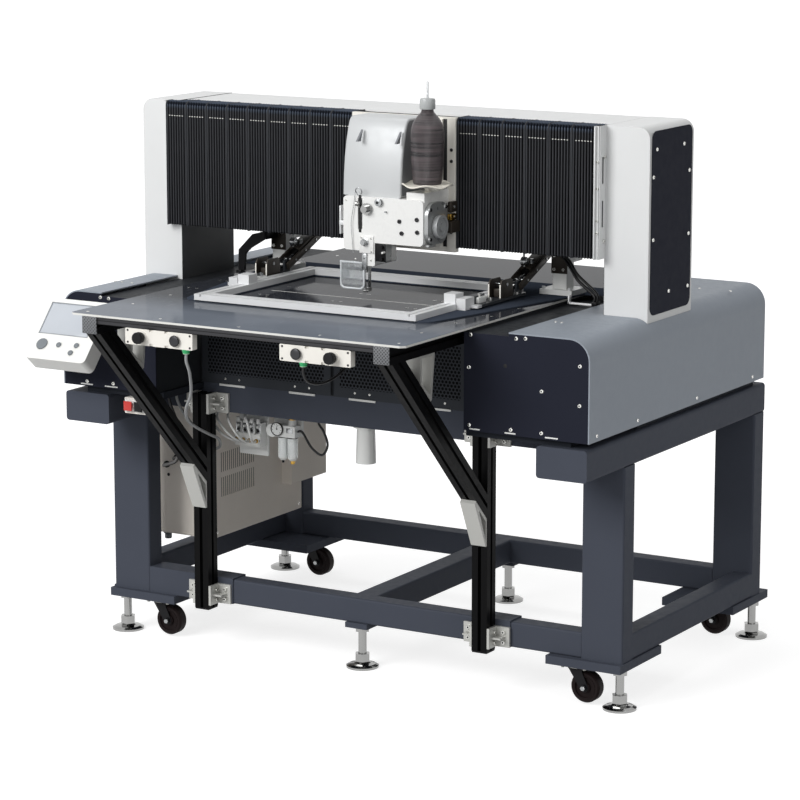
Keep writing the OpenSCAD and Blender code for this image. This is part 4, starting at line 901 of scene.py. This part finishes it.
# name, diameter, finish and the points that each run passes
CABLES = [
    ("switch_cable_left", 7, "cable", [
        (-158, -489, 816), (-158, -489, 798), (-158, -476, 768), (-184, -435, 715), (-230, -388, 668),
        (-280, -310, 622), (-330, -200, 580), (-368, -90, 540), (-378, -40, 520), (-396, -8, 495),
        (-430, 16, 478), (-520, 70, 445), (-590, 104, 428), (-590, 118, 428)]),
    ("switch_cable_right", 6, "black_cable", [
        (150, -489, 816), (150, -489, 800), (152, -470, 778), (160, -420, 770), (170, -365, 786), (178, -335, 820),
        (180, -328, 860), (180, -328, 880)]),
    ("box_cable_a", 9, "black_cable", [
        (-545, -70, 636), (-545, -70, 596), (-532, -62, 540), (-518, -38, 488), (-528, 4, 456), (-575, 58, 424),
        (-640, 104, 400), (-640, 118, 400)]),
    ("box_cable_b", 8, "black_cable", [
        (-525, -66, 636), (-525, -66, 600), (-510, -56, 540), (-498, -32, 492), (-510, 10, 466), (-556, 62, 440),
        (-610, 104, 420), (-610, 118, 420)]),
    ("box_cable_c", 7, "black_cable", [
        (-505, -62, 636), (-505, -62, 606), (-492, -52, 560), (-482, -26, 516), (-492, 14, 488), (-535, 64, 462),
        (-575, 104, 452), (-575, 118, 452)]),
    ("box_cable_d", 7, "cable", [
        (-485, -58, 636), (-485, -58, 610), (-474, -46, 574), (-466, -18, 540), (-474, 20, 514), (-510, 68, 490),
        (-545, 104, 480), (-545, 118, 480)]),
    ("air_line_a", 6, "tube", [
        (-371, 27, 509), (-371, 12, 509), (-392, -6, 526), (-425, 4, 552), (-440, 30, 570), (-440, 30, 585)]),
    ("air_line_b", 6, "tube", [
        (-352, 27, 509), (-352, 8, 509), (-368, -14, 530), (-400, -10, 560), (-420, 20, 572), (-420, 20, 585)]),
    ("air_line_c", 6, "tube", [
        (-333, 27, 509), (-333, 6, 509), (-342, -18, 532), (-365, -16, 562), (-388, 16, 574), (-388, 16, 585)]),
    ("air_line_d", 6, "tube", [
        (-314, 27, 509), (-314, 10, 509), (-308, -8, 528), (-318, -6, 560), (-340, 16, 574), (-340, 16, 585)]),
    ("filter_line", 6, "black_cable", [
        (-150, 48, 585), (-150, 48, 566), (-134, 47, 545), (-124, 46, 515), (-140, 46, 490), (-170, 47, 505),
        (-196, 48, 539), (-209, 48, 539)]),
]


def cable_runs():
    """The cables and air lines, each in its own finish, and the control box's glands, screws, and louvres drawn as
    dark slots of painted shadow.
    """
    for name, d, key, route in CABLES:
        q = Piece(name, M[key])
        q.tube(route, d, step=8)
        obj = q.done("frame")
        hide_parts("cables")
    p = Piece("control_box_fittings", M["black"])
    for x, z, d in ((-590, 428, 7), (-640, 400, 9), (-610, 420, 8), (-575, 452, 7), (-545, 480, 7)):
        r = d / 2
        p.lathe((x, 118, z), FORWARD, [(r + 0.3, 9), (r + 2, 8), (r + 3, 6), (r + 4, 4), (r + 4, 0)], 24)
    for x, z in ((-668, 356), (-636, 374), (-668, 300), (-522, 300)):
        p.screw((x, 118, z), FORWARD, 8, 2)
    # the louvre slots: dark strips that are painted shadow
    p.use(M["painted_recess_shade"])
    for k in range(17):
        for z in (325, 388):
            p.box(-502, -501.2, 150.2 + 9 * k, 153.8 + 9 * k, z + 0.5, z + 49.5)
    p.use(M["cream"])
    p.box(-689, -501, 116.6, 118, 228, 231, 0.5)
    p.use(M["key"])
    p.lathe((-655, 140, 225), DOWN, [(0, 20), (8, 20), (9, 18), (9, 8), (12, 6), (12, 0)], 24)
    p.use(M["screw"])
    for y in (130, 505):
        for z in (240, 540):
            p.screw((-500, y, z), RIGHT, 7, 2)
    p.done("frame")


switch_details()
operation_panel()
air_details()
cable_runs()

# ---------------------------------------------------------------- sewing head

ARM = -47.0                 # front face of the arm
ARM_END = 203               # its right end, where the bearing cover sits
CARRIAGE = 73               # front face of the head carriage


def head_details():
    """Trim of the arm, the presser lifter and the bearing cover, the head cover's shell with its sides in painted
    shade, and the carriage strips.
    """
    p = Piece("arm_trim", M["dark_screw"])
    for x, z in ((130, 1080), (176, 1087), (136, 1053), (177, 1058)):
        p.cap_screw((x, ARM, z), FORWARD, 10, 3)
    p.use(M["steel"])
    p.lathe((77, ARM, 1121), FORWARD,
            [(3, 12), (3, 9), (9, 8), (9, 6.5), (3.5, 6), (3.5, 3), (8, 2), (8, 0)], 28)
    p.lathe((40, ARM, 1027), FORWARD, [(0, 16), (6, 16), (7, 14), (7, 5), (10, 4), (10, 0)], 28)
    p.lathe((95, ARM, 1100), FORWARD, [(0, 7), (2, 7), (2, 0)], 16)
    p.use(M["arm"])
    p.box(24, 62, ARM - 3, ARM, 1001, 1042, 1.2)
    p.use(M["screw"])
    for x, z in ((30, 1037), (56, 1036), (57, 1006), (33, 995)):
        p.screw((x, ARM - 3 if z > 1000 else ARM, z), FORWARD, 5, 1.5)
    for x, z in ((-12, 1120), (12, 985), (54, 985)):
        p.screw((x, ARM, z), FORWARD, 5, 1.5)
    # painted shade: a dark strip in the arm's slot
    p.use(M["painted_recess_shade"])
    p.box(21.5, 28.5, ARM - 0.4, ARM + 0.2, 1048, 1134)
    p.use(M["steel"])
    p.tube([(14, ARM - 2, 1146), (10, ARM - 4, 1110), (4, ARM - 5, 1070), (6, ARM - 4, 1030),
            (8, ARM - 3, 1000)], 1.6)
    p.tube([(29, ARM - 2, 1136), (34, ARM - 8, 1146), (26, ARM - 10, 1152), (18, ARM - 8, 1146),
            (20, ARM - 2, 1134)], 2.2)
    p.use(M["frame_alu"])
    p.box(-48, -44, -20, 20, 1036, 1102, 1)
    p.box(-46, -28, -24, 24, 1058, 1068, 0.8)
    p.done("head")
    p = Piece("presser_motor_trim", M["black"])
    p.box(64.4, 92.8, -46, -45.2, 983, 1025, 0.3)
    for z in (990, 1004, 1018):
        p.rod((84, -46, z), (84, -54, z), 8, 16)
    p.use(M["arm"])
    p.rod((90, -46, 1006), (90, -58, 1006), 5, 16)
    p.done("head")
    p = Piece("bearing_cover_trim", M["motor"])
    p.lathe((ARM_END, 0, 1068), RIGHT, [(11, 0.5), (24, 0.5), (27, -0.5), (27, -2)], 48)
    corners = ((-34, 1042), (-34, 1110), (36, 1110))
    for y, z in corners:
        p.lathe((ARM_END, y, z), RIGHT, [(0, 2), (6, 2), (7, 1), (7, 0)], 24)
    p.box(194, ARM_END, -40, -8, 1024, 1029, 1)
    p.use(M["dark_screw"])
    for y, z in corners:
        p.cap_screw((ARM_END + 2, y, z), RIGHT, 8, 2)
    p.use(M["brass"])
    p.box(206, 216, 40, 66, 1078, 1092, 1)
    p.use(M["brown_alu"])
    p.box(204, 221, 34, 72, 1050, 1076, 1.5)
    p.box(204, 214, 44, 72, 1096, 1120, 1.5)
    p.use(M["steel"])
    for z in (1060, 1085, 1108):
        p.hex_bolt((214, 56, z), RIGHT, 8, 4, False)
    p.done("head")
    cover = [(-37, 1131), (CARRIAGE, 1131), (CARRIAGE, 1310), (4, 1310), (-3, 1307), (-9, 1300), (-16, 1281),
             (-24, 1252), (-30, 1220), (-34.5, 1180)]
    # The shell's two side faces and the two small triangles take a darker grey: painted shade.
    p = Piece("head_cover_shell", M["head"])
    p.plate(cover, "yz", -28, 127, 5, M["head_shade_side"])
    p.use(M["head_shade_side"])
    for x in (14, 117):
        p.plate([(-33, 1256), (-47.5, 1256), (-23, 1282)], "yz", x, x + 5)
    obj = p.done("head")
    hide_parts("head_cover")
    # painted shade: a dark strip in the gap between the carriage strips
    p = Piece("carriage_strips", M["painted_recess_shade"])
    p.box(177, 187, CARRIAGE - 2, CARRIAGE, 1012, 1306, 0.3)
    p.use(M["strip"])
    p.box(168, 175, CARRIAGE - 4, CARRIAGE, 1012, 1306, 0.6)
    p.box(187.5, 209.5, CARRIAGE - 3.5, CARRIAGE, 1000, 1308, 0.6)
    p.use(M["dark_screw"])
    for z in (1236, 1210, 1078, 1046):
        p.screw((199, CARRIAGE - 3.5, z), FORWARD, 8, 1.6)
    p.done("head")


def spool():
    """Cone of thread with its cap, on a tray with a wavy rim and a spool pin."""
    x, y, base, tray = 183.0, -12.0, 1166.0, 1147
    p = Piece("thread_cone", M["thread"])
    p.lathe((x, y, base), UP, [
        (2.6, 0), (31, 0), (33, 3), (34, 12), (37, 50), (38, 90), (38, 115), (37.3, 124), (35.6, 132), (33, 139),
        (29, 146), (24, 153), (19, 159), (15, 163), (13, 170)], 64)
    p.use(M["cap_grey"])
    p.lathe((x, y, base + 170), UP,
            [(2.6, 0), (17, 0), (18, 1.5), (18, 20), (16.5, 24), (12, 25), (2.6, 25)], 48)
    obj = p.done("head")
    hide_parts("thread_spool")
    p = Piece("spool_tray", M["tray"])
    p.lathe((x, y, tray), UP, [(9, 0), (9, 2), (6, 3), (6, 13), (10, 16)], 32)
    p.lathe((x, y, tray), UP, [
        (2.6, 19), (38, 19), (44, 18.8), (50, 18.6), (55, 19), (58, 19.4), (59, 17.6), (57.6, 15.6), (50, 14.6),
        (44, 14.4), (20, 14), (10, 16)], 96)
    for v in p.bm.verts:
        r, a = math.hypot(v.co.x - x, v.co.y - y), math.atan2(v.co.y - y, v.co.x - x)
        v.co.z += 3.4 * (max(r - 40, 0) / 19) ** 1.5 * math.sin(5 * a + 0.8)     # five waves round the rim
    p.use(M["steel"])
    p.lathe((x, y, 1163), UP, [(2.5, 0), (2.5, 233), (1.5, 236), (0, 236)], 20)
    obj = p.done("head")
    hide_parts("spool_stand")


def guard_edges():
    """Rim, clip and screw of the clear eye guard."""
    p = Piece("guard_rim", M["guard_rim"])
    p.tube([(x, -48.8, z) for x, z in (
        (-26, 978), (-26, 950), (-26, 928), (-23, 921), (-16, 917.4), (5, 917), (26, 917.4), (33, 921), (36, 928),
        (36, 950), (36, 978))], 4.6, 12, 5)
    p.box(-28, 38, -51, -46.6, 976, 980, 0.8)
    p.use(M["steel"])
    p.box(32, 44, -51.2, -46.4, 962, 1000, 0.8)
    p.screw((38, -51.2, 990), FORWARD, 5, 1.5)
    p.done("head")


def clamp_details():
    """Guide bars, port fittings and uprights of the clamp lift on each side, with their hoses."""
    slope = math.radians(22.43)
    turn = Matrix.Rotation(slope, 3, "X")
    pin_y, pin_z = 345, 979
    clamp_middle, feed_middle = -19, -20

    def on_line(d):
        """A place on the cylinder's line, so far from its rear pin."""
        return pin_y - d * math.cos(slope), pin_z - d * math.sin(slope)
    for tag, s in (("left", -1), ("right", 1)):
        cx = clamp_middle + s * 320
        p = Piece("lift_bars_" + tag, M["brown_alu"])
        y, z = on_line(90)
        for o in (-17, 17):
            p.box(cx + o - 3.2, cx + o + 3.2, y - 84, y + 84, z - 8, z + 8, 1, turn)
        y, z = on_line(66)
        p.box(cx - 15, cx + 15, y - 42, y + 42, z - 13, z + 13, 2, turn)
        p.use(M["steel"])
        for d in (14, 40, 92, 140):
            y, z = on_line(d)
            p.rod((cx - 22, y, z), (cx + 22, y, z), 6, 16)
        y, z = on_line(104)
        p.lathe((cx - 14, y, z + 24), RIGHT, [(5, 0), (9, 0), (11, 2), (11, 12), (9, 14), (5, 14)], 28)
        p.rod((cx - 7, y, z + 6), (cx - 7, y, z + 24), 8, 16)
        p.rod((cx + 6, y + 14, z + 8), (cx + 6, y + 14, z + 30), 9, 6)
        p.use(M["tube"])
        p.tube([(cx - 7, y - 2, z + 34), (cx - 9, y + 6, z + 46), (cx - 4, y + 30, z + 50),
                (cx + 4, y + 60, z + 46)], 5, 10)
        p.done("lift_cylinders")
        p = Piece("lift_uprights_" + tag, M["brown_alu"])
        for o in (-15, 15):
            p.plate([(92, 898), (150, 898), (150, 930), (143, 940), (99, 940), (92, 930)], "yz",
                    cx + o - 2, cx + o + 2, 0.6)
            p.use(M["strip"])
            for y in (92, 150):
                p.box(cx + o - 1.6, cx + o + 1.6, y - 0.6, y + 0.6, 899, 930, 0.3)
            p.use(M["brown_alu"])
        p.box(cx - 9, cx + 9, 104, 140, 899, 918, 1)
        p.use(M["steel"])
        p.rod((cx - 19, 121, 928), (cx + 19, 121, 928), 8, 20)
        p.use(M["white"])
        p.box(cx - 8, cx + 8, 4, 40, 898, 912, 1.5)
        p.use(M["screw"])
        for y in (20, 72, 120, 178):
            p.cap_screw((cx + s * 12 if y > 100 else cx, y, 898 if y > 40 else 912), UP, 9, 5)
        p.use(M["white"])
        x = clamp_middle + s * 303
        p.box(x - 7, x + 7, 46, 82, 898, 905, 1)
        p.use(M["steel"])
        p.cap_screw((x, 64, 905), UP, 12, 8)
        p.done("clamp")
        px = feed_middle + s * 390
        p = Piece("lift_post_trim_" + tag, M["frame_alu"])
        for y in (268, 332):
            for o in (-34, 34):
                p.cap_screw((px + o, y, 900), UP, 9, 6)
        p.use(M["brown_alu"])
        p.box(px - 21, px + 21, 279, 281, 936, 988, 0.6)
        p.use(M["screw"])
        for o in (-12, 12):
            for z in (946, 978):
                p.cap_screw((px + o, 279, z), FORWARD, 7, 4)
        p.use(M["white"])
        p.rod((px - s * 10, 296, 990), (px - s * 10, 296, 1000), 9, 16)
        p.use(M["black_cable"])
        side = s * 491
        for k, d in enumerate((8, 7) if s > 0 else (8,)):
            lift = 12 * k
            p.tube([(px + s * 4, 276, 982 + lift / 2), (px + s * 16, 266, 980 + lift / 2),
                    (px + s * 42, 254, 958 + lift), (px + s * 70, 242, 930 + lift),
                    (side - s * (6 - 6 * k), 233, 900 + lift / 2), (side - s * (4 - 8 * k), 231, 884)], d, 12, 8)
        p.use(M["black"])
        p.box(side - 7, side + 7, 222, 240, 876, 886, 1)
        if s < 0:
            p.plate([(-491, 886), (-474, 886), (-470, 934), (-414, 967), (-414, 987), (-449, 978), (-490, 937)],
                    "xz", 222, 230)
            p.box(-430, -412, 230, 281, 966, 984, 1)
        else:
            p.use(M["frame_alu"])
            p.box(421, 484, 226, 236, 876, 880, 0.6)
            p.box(421, 425, 226, 236, 876, 896, 0.6)
        p.done("feed")


clamp_details()
head_details()
spool()
guard_edges()

# ---------------------------------------------------------------- light, floor and camera


def light(name, energy, at, target, span):
    """A rectangular lamp that looks at a target."""
    data = bpy.data.lights.new(name, "AREA")
    data.energy = energy
    data.shape = "RECTANGLE"
    data.size, data.size_y = span
    o = bpy.data.objects.new(name, data)
    o.location = at
    o.rotation_mode = "QUATERNION"
    o.rotation_quaternion = (Vector(target) - Vector(at)).to_track_quat("-Z", "Y")
    bpy.context.scene.collection.objects.link(o)


def seen_ray(tree):
    """1 where the eye, a reflection or a view through glass meets the surroundings."""
    path = tree.nodes.new("ShaderNodeLightPath")
    last = path.outputs["Is Camera Ray"]
    for name in ("Is Glossy Ray", "Is Transmission Ray"):
        either = tree.nodes.new("ShaderNodeMath")
        either.operation = "MAXIMUM"
        tree.links.new(last, either.inputs[0])
        tree.links.new(path.outputs[name], either.inputs[1])
        last = either.outputs[0]
    return last


def studio():
    """White surroundings, plain lamps, a white floor that keeps the shadow, and the camera."""
    scene = bpy.context.scene
    scene.view_settings.view_transform = "Standard"
    world = bpy.data.worlds.new("studio")
    world.use_nodes = True
    tree = world.node_tree
    background = tree.nodes["Background"]
    split = tree.nodes.new("ShaderNodeSeparateXYZ")
    tree.links.new(tree.nodes.new("ShaderNodeTexCoord").outputs["Generated"], split.inputs[0])
    ahead = tree.nodes.new("ShaderNodeMapRange")
    for socket, value in zip(("From Min", "From Max", "To Min", "To Max"), (-0.9, 0.5, 0.62, 0.1)):
        ahead.inputs[socket].default_value = value
    tree.links.new(split.outputs[1], ahead.inputs["Value"])
    bright = tree.nodes.new("ShaderNodeMath")
    bright.operation = "MAXIMUM"
    tree.links.new(seen_ray(tree), bright.inputs[0])
    tree.links.new(ahead.outputs["Result"], bright.inputs[1])
    tree.links.new(bright.outputs[0], background.inputs["Strength"])
    background.inputs["Color"].default_value = (1, 1, 1, 1)
    scene.world = world
    light("key", 232, (-1.6, -4.6, 3.4), (0, 0, 0.8), (3.0, 2.4))
    light("fill", 30, (4.5, -2.0, 2.6), (0, 0, 0.8), (2.0, 3.0))
    light("top", 50, (0.0, 0.6, 4.4), (0, 0.2, 0.6), (3.0, 3.0))
    floor = bpy.data.meshes.new("floor")
    bm = bmesh.new()
    bmesh.ops.create_grid(bm, x_segments=1, y_segments=1, size=30)
    bm.to_mesh(floor)
    bm.free()
    n = Nodes("floor_white")
    x, y = n.axis(0), n.axis(1)
    away = n.math("SQRT", n.math("ADD", n.math("MULTIPLY", x, x), n.math("MULTIPLY", y, y)))
    seen = seen_ray(n.tree)
    n.set(color=(0.42, 0.42, 0.42, 1), rough=0.9,
          glow=n.math("MULTIPLY", seen, n.ramp(away, 0.9, 3.2, 0.78, 1.0)), glow_color=(1, 1, 1, 1))
    floor.materials.append(n.mat)
    o = bpy.data.objects.new("floor", floor)
    o.location.z = -0.0005
    scene.collection.objects.link(o)
    cam = bpy.data.objects.new("camera", bpy.data.cameras.new("camera"))
    cam.data.lens, cam.data.sensor_width = 139.1, 36
    cam.data.clip_end = 200
    cam.location = (3.69486, -6.05487, 2.02369)
    a, e = math.radians(30.674), math.radians(10.997)
    back = Vector((math.sin(a) * math.cos(e), -math.cos(a) * math.cos(e), math.sin(e)))
    cam.rotation_mode = "QUATERNION"
    cam.rotation_quaternion = (-back).to_track_quat("-Z", "Y")
    scene.collection.objects.link(cam)
    scene.camera = cam


studio()
